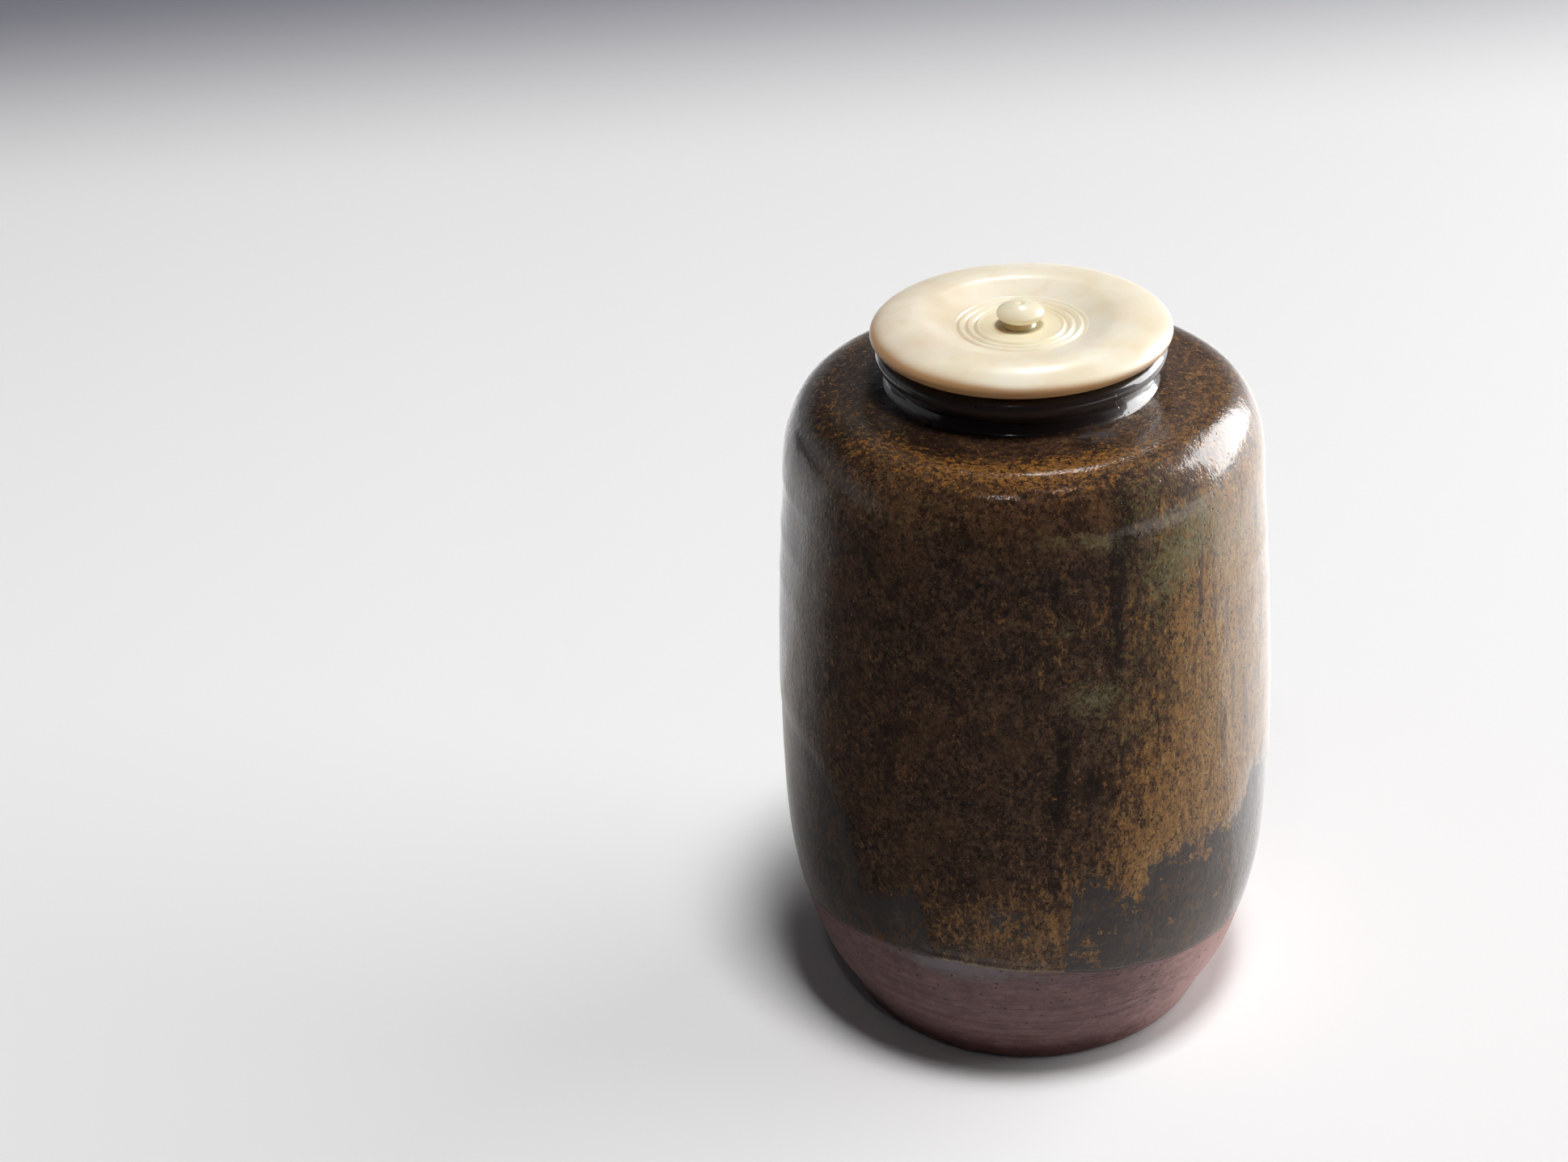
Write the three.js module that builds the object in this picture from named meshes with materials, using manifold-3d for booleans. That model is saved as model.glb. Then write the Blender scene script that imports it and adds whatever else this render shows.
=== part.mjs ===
// Chaire, a small tea caddy: a wheel-thrown stoneware jar with a rolled lip, two coats of
// run glaze that stop above a bare foot, and a turned ivory-coloured lid with a small knob.
// Millimetres, +Z up. The origin is the middle of the flat foot, on the surface it stands on.
// Azimuth 0 faces -Y and grows towards +X.

import * as THREE from 'three';
import { mergeVertices } from 'three/addons/utils/BufferGeometryUtils.js';
import Module from 'manifold-3d';

// Thrown clay jar: outside
const footRadius = 23.1;
const footChamfer = 0.5;
const bellyRadius = 30.4;
const bellyHeight = 34.7;
const wallRise = 38.0;
const shoulderRadius = 28.2;
const shoulderRise = 10.7;
const shoulderWidth = 6.5;
const neckRadius = 14.9;
const neckFootWidth = 0.8;
const neckFootRise = 0.85;
const neckWaistRise = 1.65;
const lipOverhang = 1.78;
const lipWidth = 2.5;
const lipHeight = 1.7;
const lipRise = 2.9;

// Thrown clay jar: inside
const wallThickness = 2.7;
const floorThickness = 3.4;
const neckWall = 2.3;
const boreEase = 1.2;

// Glaze coats, thickness and the line where each one stops
const coatGap = 0.04;
const baseCoat = 0.3;
const overCoat = 0.2;
const glazeLineHeight = 15.9;
const glazeLineTilt = 2.5;
const glazeTiltAzimuth = -12;
const glazeLineWave = 1.6;
const glazeWaveAzimuth = -17.5;
const innerGlazeDepth = 3.6;
const overEdgeMargin = 0.7;
const overEdgeTop = 41.0;

// Turned lid, heights from the flat underside that sits on the lip
const seatClearance = 0.06;
const lidOverhang = 0.57;
const lidRimHeight = 1.4;
const lidRimWidth = 2.6;
const lidCrestInset = 5.0;
const lidCrestHeight = 3.2;
const dishRadius = 7.9;
const dishHeight = 1.9;
const dishFloorHeight = 1.6;
const ringPitch = 1.0;
const ringDepth = 0.28;
const ringCount = 3;
const bossClearance = 0.3;
const bossDepth = 2.0;
const bossChamfer = 0.4;

// Knob, heights from the floor of the dish
const fitGap = 0.05;
const knobFootRadius = 1.85;
const knobFootThickness = 0.25;
const knobWaistRadius = 1.45;
const knobWaistHeight = 0.75;
const knobRadius = 2.8;
const knobHalfHeight = 1.2;
const knobCentreHeight = 1.8;
const dimpleRadius = 0.55;
const dimpleDepth = 0.14;
const tenonRadius = 1.0;
const tenonLength = 1.9;

// Gold-leafed paper under the lid
const liningThickness = 0.2;
const liningMargin = 0.6;

const overrun = 1.0;
const turnSteps = 40;
const edgeSteps = 80;
const knobTurnSteps = 20;
const outsideSteps = { lower: 7, upper: 3, shoulder: 5 };
const insideSteps = { lower: 4, upper: 2, shoulder: 3 };
const neckSteps = 7;
const lipSteps = 8;

// Shares of the way up and out along the lower wall, from the foot to the belly
const lowerWallShares = [[0.115, 0.24], [0.27, 0.57], [0.505, 0.84], [0.765, 0.968], [1, 1]];
const upperWallBulge = 1.6;
const shoulderSquareness = 2.45;
// Shares of the way in and up from the shoulder's crest to the foot of the neck
const shoulderTopShares = [[0.4, 0.28], [0.8, 0.62]];
// Shares of the way in and up round the fillet between the foot of the neck and its waist
const filletShares = [[0.73, 0.56]];
// Shares of the way in and down from the lid's crest to the edge of its dish
const dishSlopeShares = [[0.32, 0.12], [0.68, 0.55]];
// The overglaze edge round the jar: share of a turn, share of the way up from the glaze line
const overEdgeShares = [
  [0, 0], [0.026, 0.02], [0.034, 0.52], [0.044, 0.6], [0.054, 0.54], [0.068, 0.42], [0.078, 0.7],
  [0.115, 0.66], [0.155, 0.69], [0.19, 0.8], [0.24, 0.56], [0.29, 0.3], [0.33, 0.5],
  [0.38, 0.12], [0.42, 0.05], [0.47, 0.45], [0.52, 0.66], [0.57, 0.35], [0.62, 0.08],
  [0.66, 0.3], [0.71, 0.62], [0.76, 0.88], [0.8, 0.98], [0.842, 0.95], [0.867, 0.8],
  [0.889, 0.55], [0.903, 0.37], [0.911, 0.34], [0.925, 0.41], [0.936, 0.36], [0.942, 0.02],
  [0.97, 0],
];

// Stations that follow from the sizes above
const shoulderStart = bellyHeight + wallRise;
const crestRadius = shoulderRadius - shoulderWidth;
const crestHeight = shoulderStart + shoulderRise;
const neckFootRadius = neckRadius + neckFootWidth;
const neckFootHeight = crestHeight + neckFootRise;
const neckHeight = neckFootHeight + neckWaistRise;
const neckBoreRadius = neckRadius - neckWall;
const lipRadius = neckRadius + lipOverhang;
const lipTop = neckHeight + lipRise;
const glazeRelief = coatGap + baseCoat;
const lidUnderside = lipTop + glazeRelief + seatClearance;
const lidRadius = lipRadius + glazeRelief + lidOverhang;
const lidCrestRadius = lidRadius - lidCrestInset;
const bossRadius = neckBoreRadius - glazeRelief - bossClearance;

const wasm = await Module();
wasm.setup();

const clay = new THREE.MeshStandardMaterial({ color: 0x6a4a4c, roughness: 0.85 });
const ironGlaze = new THREE.MeshStandardMaterial({ color: 0x1c1614, roughness: 0.2 });
const amberGlaze = new THREE.MeshStandardMaterial({ color: 0x6b4415, roughness: 0.25 });
const ivory = new THREE.MeshStandardMaterial({ color: 0xe9dfc8, roughness: 0.3 });
const ivoryKnob = new THREE.MeshStandardMaterial({ color: 0xe6d9b8, roughness: 0.25 });
const goldLeaf = new THREE.MeshStandardMaterial({ color: 0xd4a43c, roughness: 0.3, metalness: 1 });

function point(radius, height) {
  return new THREE.Vector2(radius, height);
}

// A point part of the way from one point to another, with its own share for each direction
function between(from, to, [radialShare, heightShare]) {
  return point(
    THREE.MathUtils.lerp(from.x, to.x, radialShare),
    THREE.MathUtils.lerp(from.y, to.y, heightShare),
  );
}

// Elliptical arc in the outline plane, angles in degrees from the outward direction
function arc(centre, radial, upright, fromAngle, toAngle, steps) {
  const points = [];
  for (let i = 0; i <= steps; i += 1) {
    const angle = THREE.MathUtils.degToRad(fromAngle + (toAngle - fromAngle) * i / steps);
    points.push(point(centre.x + radial * Math.cos(angle), centre.y + upright * Math.sin(angle)));
  }
  return points;
}

function spline(points, steps) {
  return new THREE.SplineCurve(points).getPoints(steps);
}

// Outline moved sideways by a constant distance, positive to the right of its direction
function offsetOutline(points, distance) {
  const last = points.length - 1;
  return points.map((p, i) => {
    const before = points[Math.max(i - 1, 0)];
    const after = points[Math.min(i + 1, last)];
    const arriving = i > 0 ? p.clone().sub(before) : after.clone().sub(p);
    const leaving = i < last ? after.clone().sub(p) : arriving.clone();
    const sideA = point(arriving.y, -arriving.x).normalize();
    const sideB = point(leaving.y, -leaving.x).normalize();
    const middle = sideA.clone().add(sideB).normalize();
    return p.clone().addScaledVector(middle, distance / middle.dot(sideA));
  });
}

function turned(outline, steps = turnSteps) {
  return new THREE.LatheGeometry(outline, steps).rotateX(Math.PI / 2);
}

function closed(outline) {
  return [...outline, outline[0].clone()];
}

// Side of the jar from foot to shoulder crest, drawn in by an inset and starting at a floor
function wallOutline(inset, bottom, steps) {
  const foot = point(footRadius - inset, bottom);
  const belly = point(bellyRadius - inset, bellyHeight);
  const lower = lowerWallShares.map(([upShare, outShare]) => between(foot, belly, [outShare, upShare]));
  const upper = [];
  for (let i = 1; i <= steps.upper; i += 1) {
    const share = i / steps.upper;
    const drop = (bellyRadius - shoulderRadius) * share ** upperWallBulge;
    const height = THREE.MathUtils.lerp(bellyHeight, shoulderStart, share);
    upper.push(point(belly.x - drop, height));
  }
  const shoulder = [];
  for (let i = 1; i <= steps.shoulder; i += 1) {
    const angle = (Math.PI / 2) * i / steps.shoulder;
    const across = shoulderWidth * Math.cos(angle) ** (2 / shoulderSquareness);
    const rise = (crestHeight - inset - shoulderStart) * Math.sin(angle) ** (2 / shoulderSquareness);
    shoulder.push(point(crestRadius - inset + across, shoulderStart + rise));
  }
  return [...spline([foot, ...lower], steps.lower), ...upper, ...shoulder];
}

// Outside of the neck, from the shoulder crest to the underside of the rolled lip
function neckOutline() {
  const crest = point(crestRadius, crestHeight);
  const foot = point(neckFootRadius, neckFootHeight);
  const waist = point(neckRadius, neckHeight);
  const top = shoulderTopShares.map((shares) => between(crest, foot, shares));
  const fillet = filletShares.map((shares) => between(foot, waist, shares));
  return spline([crest, ...top, foot, ...fillet, waist], neckSteps).slice(1);
}

// Rolled lip: a full round bead carried a little outside the neck
function lipOutline() {
  const centre = point(lipRadius - lipWidth / 2, lipTop - lipHeight / 2);
  return arc(centre, lipWidth / 2, lipHeight / 2, -50, 170, lipSteps);
}

const outside = [...wallOutline(0, 0, outsideSteps), ...neckOutline(), ...lipOutline()];

function clayBody() {
  const inside = wallOutline(wallThickness, floorThickness, insideSteps).reverse();
  const ceiling = inside[0].y;
  return turned([
    point(0, 0),
    point(footRadius - footChamfer, 0),
    point(footRadius, footChamfer),
    ...outside.slice(1),
    point(neckBoreRadius, neckHeight),
    point(neckBoreRadius, ceiling + boreEase),
    point(neckBoreRadius + boreEase, ceiling),
    ...inside,
    point(0, floorThickness),
  ]);
}

// Height of the line where the glaze stops: the tilt of the dip, and one wave in each half turn
function glazeLine(azimuth) {
  const fromTilt = azimuth - THREE.MathUtils.degToRad(glazeTiltAzimuth);
  const fromWave = azimuth - THREE.MathUtils.degToRad(glazeWaveAzimuth);
  return glazeLineHeight + glazeLineTilt * Math.cos(fromTilt) + glazeLineWave * Math.cos(2 * fromWave);
}

// Lower edge of the overglaze, in hanging lobes between the glaze line and its highest notch
function overEdge(azimuth) {
  const turn = THREE.MathUtils.euclideanModulo(azimuth / (2 * Math.PI), 1);
  const count = overEdgeShares.length;
  const next = overEdgeShares.findIndex(([turnShare]) => turnShare > turn);
  const after = next < 0 ? count : next;
  const [fromTurn, fromRise] = overEdgeShares[after - 1];
  const [toTurn, toRise] = after < count ? overEdgeShares[after] : [1, overEdgeShares[0][1]];
  const along = THREE.MathUtils.smoothstep(turn, fromTurn, toTurn);
  const lowest = glazeLine(azimuth) + overEdgeMargin;
  return THREE.MathUtils.lerp(lowest, overEdgeTop, THREE.MathUtils.lerp(fromRise, toRise, along));
}

function toSolid(geometry) {
  const bare = geometry.clone();
  bare.deleteAttribute('normal');
  bare.deleteAttribute('uv');
  const merged = mergeVertices(bare);
  return new wasm.Manifold(new wasm.Mesh({
    numProp: 3,
    vertProperties: new Float32Array(merged.getAttribute('position').array),
    triVerts: new Uint32Array(merged.getIndex().array),
  }));
}

function toGeometry(solid) {
  const mesh = solid.getMesh();
  const geometry = new THREE.BufferGeometry();
  geometry.setAttribute('position', new THREE.BufferAttribute(mesh.vertProperties, 3));
  geometry.setIndex(new THREE.BufferAttribute(mesh.triVerts, 1));
  geometry.computeVertexNormals();
  return geometry;
}

// Ring that takes away everything below a line whose height changes with azimuth
function belowLine(lineHeight) {
  const inner = neckRadius;
  const outer = bellyRadius + baseCoat + overCoat + overrun;
  const top = bellyHeight;
  const ring = turned(closed([
    point(inner, -overrun), point(outer, -overrun), point(outer, top), point(inner, top),
  ]), edgeSteps);
  const position = ring.getAttribute('position');
  for (let i = 0; i < position.count; i += 1) {
    if (position.getZ(i) > 0) {
      position.setZ(i, lineHeight(Math.atan2(position.getX(i), -position.getY(i))));
    }
  }
  return ring;
}

// The outline from just below the lowest point that the glaze line can reach
function glazedOutline() {
  const lowest = glazeLineHeight - glazeLineTilt - glazeLineWave;
  return outside.slice(outside.findIndex((p) => p.y > lowest) - 1);
}

// A coat of even thickness over the first stations of an outline, cut away below its own line
function coat(stations, covered, clearance, thickness, lineHeight) {
  const outer = offsetOutline(stations, clearance + thickness).slice(0, covered);
  const inner = offsetOutline(stations, clearance).slice(0, covered).reverse();
  const shell = toSolid(turned(closed([...outer, ...inner])));
  return toGeometry(shell.subtract(toSolid(belowLine(lineHeight))));
}

// The dark coat, from the glaze line over the lip and a little way down inside the neck
function baseGlaze() {
  const insideNeck = [
    point(neckBoreRadius, neckHeight),
    point(neckBoreRadius, lipTop - innerGlazeDepth),
  ];
  const stations = [...glazedOutline(), ...insideNeck];
  return coat(stations, stations.length, coatGap, baseCoat, glazeLine);
}

// The amber coat, from its lobed edge up over the shoulder to the foot of the neck
function amberOverglaze() {
  const stations = glazedOutline();
  const covered = stations.findIndex((p) => p.y > neckFootHeight);
  return coat(stations, covered, glazeRelief + coatGap, overCoat, overEdge);
}

// Concentric grooves cut in the dish, outermost first
function ringGrooves() {
  const points = [];
  for (let i = 0; i < ringCount; i += 1) {
    const radius = dishRadius - (i + 0.5) * ringPitch;
    const height = THREE.MathUtils.lerp(dishHeight, dishFloorHeight, (i + 1) / (ringCount + 1));
    points.push(point(radius + ringPitch / 4, height));
    points.push(point(radius, height - ringDepth));
    points.push(point(radius - ringPitch / 4, height));
  }
  return points;
}

function lidDisc() {
  const holeRadius = tenonRadius + fitGap;
  const holeBottom = dishFloorHeight - tenonLength - fitGap;
  const rimCentre = point(lidRadius - lidRimWidth, lidRimHeight);
  const lowerRim = arc(rimCentre, lidRimWidth, lidRimHeight, -90, 0, 4);
  const crestCentre = point(lidCrestRadius, lidRimHeight);
  const upperRim = arc(crestCentre, lidCrestInset, lidCrestHeight - lidRimHeight, 0, 90, 7);
  const crest = upperRim[upperRim.length - 1];
  const dishEdge = point(dishRadius, dishHeight);
  const slope = dishSlopeShares.map((shares) => between(crest, dishEdge, shares));
  return turned([
    point(0, -bossDepth),
    point(bossRadius - bossChamfer, -bossDepth),
    point(bossRadius, bossChamfer - bossDepth),
    point(bossRadius, 0),
    ...lowerRim,
    ...upperRim.slice(1),
    ...slope,
    dishEdge,
    ...ringGrooves(),
    point(holeRadius, dishFloorHeight),
    point(holeRadius, holeBottom),
    point(0, holeBottom),
  ]);
}

function lidKnob() {
  const centre = point(0, knobCentreHeight);
  const bulb = arc(centre, knobRadius, knobHalfHeight, -50, 80, 10);
  const dimpleEdge = point(dimpleRadius, knobCentreHeight + knobHalfHeight - dimpleDepth / 2);
  return turned([
    point(0, -tenonLength),
    point(tenonRadius, -tenonLength),
    point(tenonRadius, fitGap),
    point(knobFootRadius, fitGap),
    point(knobFootRadius, fitGap + knobFootThickness),
    point(knobWaistRadius, knobWaistHeight),
    ...bulb.filter((p) => p.x > dimpleEdge.x),
    dimpleEdge,
    point(0, knobCentreHeight + knobHalfHeight - dimpleDepth),
  ], knobTurnSteps);
}

function goldLining() {
  const radius = bossRadius - bossChamfer - liningMargin;
  const top = -bossDepth - fitGap;
  return turned([
    point(0, top - liningThickness),
    point(radius, top - liningThickness),
    point(radius, top),
    point(0, top),
  ]);
}

function named(name, geometry, material, height = 0) {
  const mesh = new THREE.Mesh(geometry, material);
  mesh.name = name;
  mesh.position.z = height;
  return mesh;
}

const jar = new THREE.Group();
jar.add(
  named('clay_body', clayBody(), clay),
  named('base_glaze', baseGlaze(), ironGlaze),
  named('amber_overglaze', amberOverglaze(), amberGlaze),
);

const lid = new THREE.Group();
lid.position.z = lidUnderside;
lid.add(
  named('lid_disc', lidDisc(), ivory),
  named('lid_knob', lidKnob(), ivoryKnob, dishFloorHeight),
  named('gold_leaf_lining', goldLining(), goldLeaf),
);

const chaire = new THREE.Group();
chaire.add(jar, lid);

export default chaire;
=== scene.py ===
"""A chaire, the small lidded jar for powdered tea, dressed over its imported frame.

The jar is wheel-thrown stoneware, dipped in dark iron glaze with an amber glaze run over it, and
its turned ivory-coloured lid lifts off by a small knob. Sizes are in millimetres with +Z up, and
become metres where a mesh is made. Azimuth 0 faces -Y and grows towards +X. "Along" is the
distance along the jar's outline from the edge of its foot.
"""

import logging
import math
from dataclasses import dataclass, field
from enum import Enum

import bpy
import numpy as np
from mathutils import Matrix, Vector

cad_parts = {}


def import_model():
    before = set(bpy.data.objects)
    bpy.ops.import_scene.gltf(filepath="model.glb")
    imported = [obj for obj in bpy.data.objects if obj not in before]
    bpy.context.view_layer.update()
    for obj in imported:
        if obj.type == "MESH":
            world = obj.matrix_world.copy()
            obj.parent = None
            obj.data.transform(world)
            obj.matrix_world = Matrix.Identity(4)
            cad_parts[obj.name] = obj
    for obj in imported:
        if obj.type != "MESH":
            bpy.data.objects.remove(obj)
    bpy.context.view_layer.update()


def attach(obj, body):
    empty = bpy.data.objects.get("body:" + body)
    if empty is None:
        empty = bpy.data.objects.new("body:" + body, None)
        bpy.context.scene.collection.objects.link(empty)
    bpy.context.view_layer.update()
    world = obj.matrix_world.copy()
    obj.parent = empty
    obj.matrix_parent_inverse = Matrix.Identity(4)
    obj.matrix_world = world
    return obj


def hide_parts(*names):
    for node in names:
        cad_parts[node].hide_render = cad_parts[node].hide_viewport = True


log = logging.getLogger("chaire")

Array = np.ndarray
Socket = bpy.types.NodeSocket

MM = 0.001
TURN = 2 * math.pi
TINY = 1e-6
LATTICE_ROWS = 64

# Columns round each mesh, and rows of the surfaces whose rows are evenly spaced
CLAY_COLUMNS, COAT_COLUMNS, DISC_COLUMNS, KNOB_COLUMNS, LINING_COLUMNS = 288, 400, 256, 112, 128
HOLLOW_ROWS, AMBER_ROWS, FACE_ROWS = 64, 190, 40

# Sockets of the Mix node, whose names repeat for each kind of value
FACTOR, VALUE_A, VALUE_B, COLOUR_A, COLOUR_B = 0, 2, 3, 6, 7
VALUE_RESULT, COLOUR_RESULT = 0, 2


# Shapes


def smoothstep(low: float, high: float, value: Array) -> Array:
    """Ease from 0 at low to 1 at high: 3t^2 - 2t^3 of the clipped share t between them."""
    t = np.clip((value - low) / (high - low), 0.0, 1.0)
    return t * t * (3.0 - 2.0 * t)


def bell(value: Array, middle: Array | float, width: float) -> Array:
    """Bell curve of height 1: exp(-((value - middle) / width)^2)."""
    return np.exp(-(((value - middle) / width) ** 2))


def rolled(share: Array) -> Array:
    """Quarter ellipse up to 1: sqrt(1 - (1 - share)^2), with the share kept from 0.02 to 1."""
    return np.sqrt(1 - (1 - np.clip(share, 0.02, 1)) ** 2)


def spline(points: list[tuple[float, float]], samples: int) -> Array:
    """Uniform Catmull-Rom curve through points.

    Each span is the cubic that meets its two ends with half the chord between their neighbours
    as the slope: (2a - 2b + u + v)w^3 + (3b - 3a - 2u - v)w^2 + uw + a.

    Args:
        points: (radius, height) of each point.
        samples: how many points to return.

    Returns:
        Points on the curve, one row each.
    """
    knots = np.asarray(points, float)
    last = len(knots) - 1
    t = np.linspace(0, last, samples)
    i = np.minimum(t.astype(int), last - 1)
    w = (t - i)[:, None]
    a, b = knots[i], knots[i + 1]
    u = (b - knots[np.maximum(i - 1, 0)]) / 2
    v = (knots[np.minimum(i + 2, last)] - a) / 2
    return (2 * a - 2 * b + u + v) * w**3 + (3 * b - 3 * a - 2 * u - v) * w**2 + u * w + a


def arc(
    centre: tuple[float, float], radial: float, upright: float, start: float, end: float, samples: int
) -> Array:
    """Elliptical arc: centre + (radial cos angle, upright sin angle).

    Args:
        centre: (radius, height) of the middle.
        radial: half width.
        upright: half height.
        start: first angle in degrees from the outward direction.
        end: last angle in degrees.
        samples: how many points to return.

    Returns:
        Points on the arc, one row each.
    """
    angle = np.radians(np.linspace(start, end, samples))
    return np.stack([centre[0] + radial * np.cos(angle), centre[1] + upright * np.sin(angle)], axis=1)


def line(start: tuple[float, float], end: tuple[float, float], samples: int) -> Array:
    """Evenly spaced points of a straight line, both ends included."""
    return np.linspace(start, end, samples)


def between(
    start: tuple[float, float], end: tuple[float, float], shares: tuple[tuple[float, float], ...]
) -> list[tuple[float, float]]:
    """Points part of the way from start to end: start + (end - start) * share, for each axis.

    Args:
        start: (radius, height) where the way starts.
        end: (radius, height) where it ends.
        shares: the share of the radius and the share of the height, for each point.

    Returns:
        (radius, height) of each point.
    """
    wide, tall = end[0] - start[0], end[1] - start[1]
    return [(start[0] + wide * out, start[1] + tall * up) for out, up in shares]


def drift(azimuth: Array, along: Array, cells: int, pitch: float, seed: int) -> Array:
    """Smooth random field round the jar, from -1 to 1, which meets itself after a turn.

    Random values sit on a lattice and are blended between neighbours with the smoothstep weight.

    Args:
        azimuth: angle round the jar, in radians.
        along: distance along the run.
        cells: lattice cells in a whole turn.
        pitch: distance between lattice rows.
        seed: seed of the random values.

    Returns:
        The field at each point.
    """
    lattice = np.random.default_rng(seed).uniform(-1, 1, (LATTICE_ROWS, cells))
    u, v = azimuth / TURN % 1 * cells, along / pitch
    i, j = np.floor(u).astype(int), np.floor(v).astype(int)
    across, up = smoothstep(0, 1, u - i), smoothstep(0, 1, v - j)
    left, right = i % cells, (i + 1) % cells
    below, above = j % LATTICE_ROWS, (j + 1) % LATTICE_ROWS
    low = lattice[below, left] * (1 - across) + lattice[below, right] * across
    high = lattice[above, left] * (1 - across) + lattice[above, right] * across
    return low * (1 - up) + high * up


@dataclass(frozen=True)
class Spot:
    """A soft elliptical patch on the jar: its place, half width, half height and strength."""

    azimuth: float
    height: float
    across: float
    tall: float
    strength: float = 1.0


def patches(spots: tuple[Spot, ...], azimuth: Array, height: Array, radius: float) -> Array:
    """Sum over the spots of strength * exp(-(x / across)^2 - (z / tall)^2).

    Args:
        spots: the patches.
        azimuth: angle of each point, in radians.
        height: height of each point.
        radius: radius on which x, the distance round the jar, is measured.

    Returns:
        The sum at each point.
    """
    total = np.zeros(np.broadcast(azimuth, height).shape)
    for spot in spots:
        turned = (azimuth - math.radians(spot.azimuth) + math.pi) % TURN - math.pi
        across = turned * radius / spot.across
        total += spot.strength * np.exp(-(across**2) - ((height - spot.height) / spot.tall) ** 2)
    return total


class Outline:
    """A dense outline with its arc length and its outward normals."""

    def __init__(self, points: Array, spacing: float = 0.05) -> None:
        """Resamples the points evenly.

        Args:
            points: (radius, height) rows, going up on the outside.
            spacing: distance between the resampled points.
        """
        steps = np.hypot(*np.diff(points, axis=0).T)
        keep = np.concatenate([[True], steps > TINY])
        points = points[keep]
        length = np.concatenate([[0], np.cumsum(np.hypot(*np.diff(points, axis=0).T))])
        self.along = np.linspace(0, length[-1], int(length[-1] / spacing) + 1)
        self.radius = np.interp(self.along, length, points[:, 0])
        self.height = np.interp(self.along, length, points[:, 1])
        self.find_normals()

    def find_normals(self) -> None:
        """Works out the outward normals: the direction of travel turned to the right."""
        rise, run = np.gradient(self.height), np.gradient(self.radius)
        size = np.hypot(rise, run)
        self.normal_r, self.normal_z = rise / size, -run / size

    def soften(self, middle: float, reach: float, width: float) -> None:
        """Rounds the outline near one place.

        Each point moves towards the moving average over the width, with the weight
        bell(along, middle, reach).

        Args:
            middle: arc length of the place.
            reach: how far along the rounding fades.
            width: length of the moving average.
        """
        count = int(width / (self.along[1] - self.along[0])) // 2 * 2 + 1
        kernel = np.hanning(count + 2)[1:-1]
        weight = bell(self.along, middle, reach)
        for values in (self.radius, self.height):
            mean = np.convolve(np.pad(values, count // 2, mode="edge"), kernel / kernel.sum(), mode="valid")
            values += weight * (mean - values)
        self.find_normals()

    @property
    def length(self) -> float:
        """Arc length of the whole outline."""
        return float(self.along[-1])

    def at(self, along: Array, out: Array | float = 0.0) -> tuple[Array, Array]:
        """Points of the outline, moved out along the normal: point + out * normal.

        Args:
            along: arc length of each point.
            out: how far it is moved.

        Returns:
            The radius and the height of each point.
        """
        radius = np.interp(along, self.along, self.radius)
        height = np.interp(along, self.along, self.height)
        normal_r = np.interp(along, self.along, self.normal_r)
        normal_z = np.interp(along, self.along, self.normal_z)
        return radius + normal_r * out, height + normal_z * out

    def reach(self, height: Array | float) -> Array:
        """Arc length at which the outline first reaches a height."""
        climbed = np.maximum.accumulate(self.height + self.along * TINY)
        return np.interp(height, climbed, self.along)


def turned(radius: Array, height: Array, azimuth: Array) -> Array:
    """Points on a turned surface: (radius sin azimuth, -radius cos azimuth, height)."""
    radius, height, azimuth = np.broadcast_arrays(radius, height, azimuth)
    return np.stack([radius * np.sin(azimuth), -radius * np.cos(azimuth), height], axis=-1)


def columns(count: int) -> Array:
    """Azimuths of the columns of a grid that closes after a whole turn."""
    return np.linspace(-math.pi, math.pi, count, endpoint=False)[None, :]


def stretches(marks: list[tuple[float, float]]) -> Array:
    """Stations from mark to mark, each stretch with its own spacing.

    Args:
        marks: (position, spacing from here on) rows; the last spacing isn't used.

    Returns:
        The stations, first and last mark included.
    """
    parts = [
        np.linspace(a, b, max(int(round((b - a) / step)), 1), endpoint=False)
        for (a, step), (b, _) in zip(marks[:-1], marks[1:])
    ]
    return np.concatenate([*parts, [marks[-1][0]]])


def woven(rows: int, around: int, ring: bool) -> Array:
    """Four-sided faces between the neighbouring points of a grid.

    Args:
        rows: number of rows.
        around: number of columns, of which the last meets the first.
        ring: whether the last row meets the first too.

    Returns:
        The numbers of each face's corners.
    """
    i = np.arange(rows if ring else rows - 1)[:, None]
    j = np.arange(around)[None, :]
    up, across = (i + 1) % rows, (j + 1) % around
    corners = [i * around + j, i * around + across, up * around + across, up * around + j]
    return np.stack(np.broadcast_arrays(*corners), axis=-1).reshape(-1, 4)


def capped(rows: int, around: int) -> Array:
    """Triangles that close a grid below and above, to two points numbered after the grid's own.

    Args:
        rows: number of rows.
        around: number of columns, of which the last meets the first.

    Returns:
        The numbers of each triangle's corners.
    """
    count, j = rows * around, np.arange(around)
    across, last = (j + 1) % around, count - around
    return np.concatenate([
        np.stack([np.full(around, count), across, j], axis=1),
        np.stack([np.full(around, count + 1), last + j, last + across], axis=1),
    ])


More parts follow.
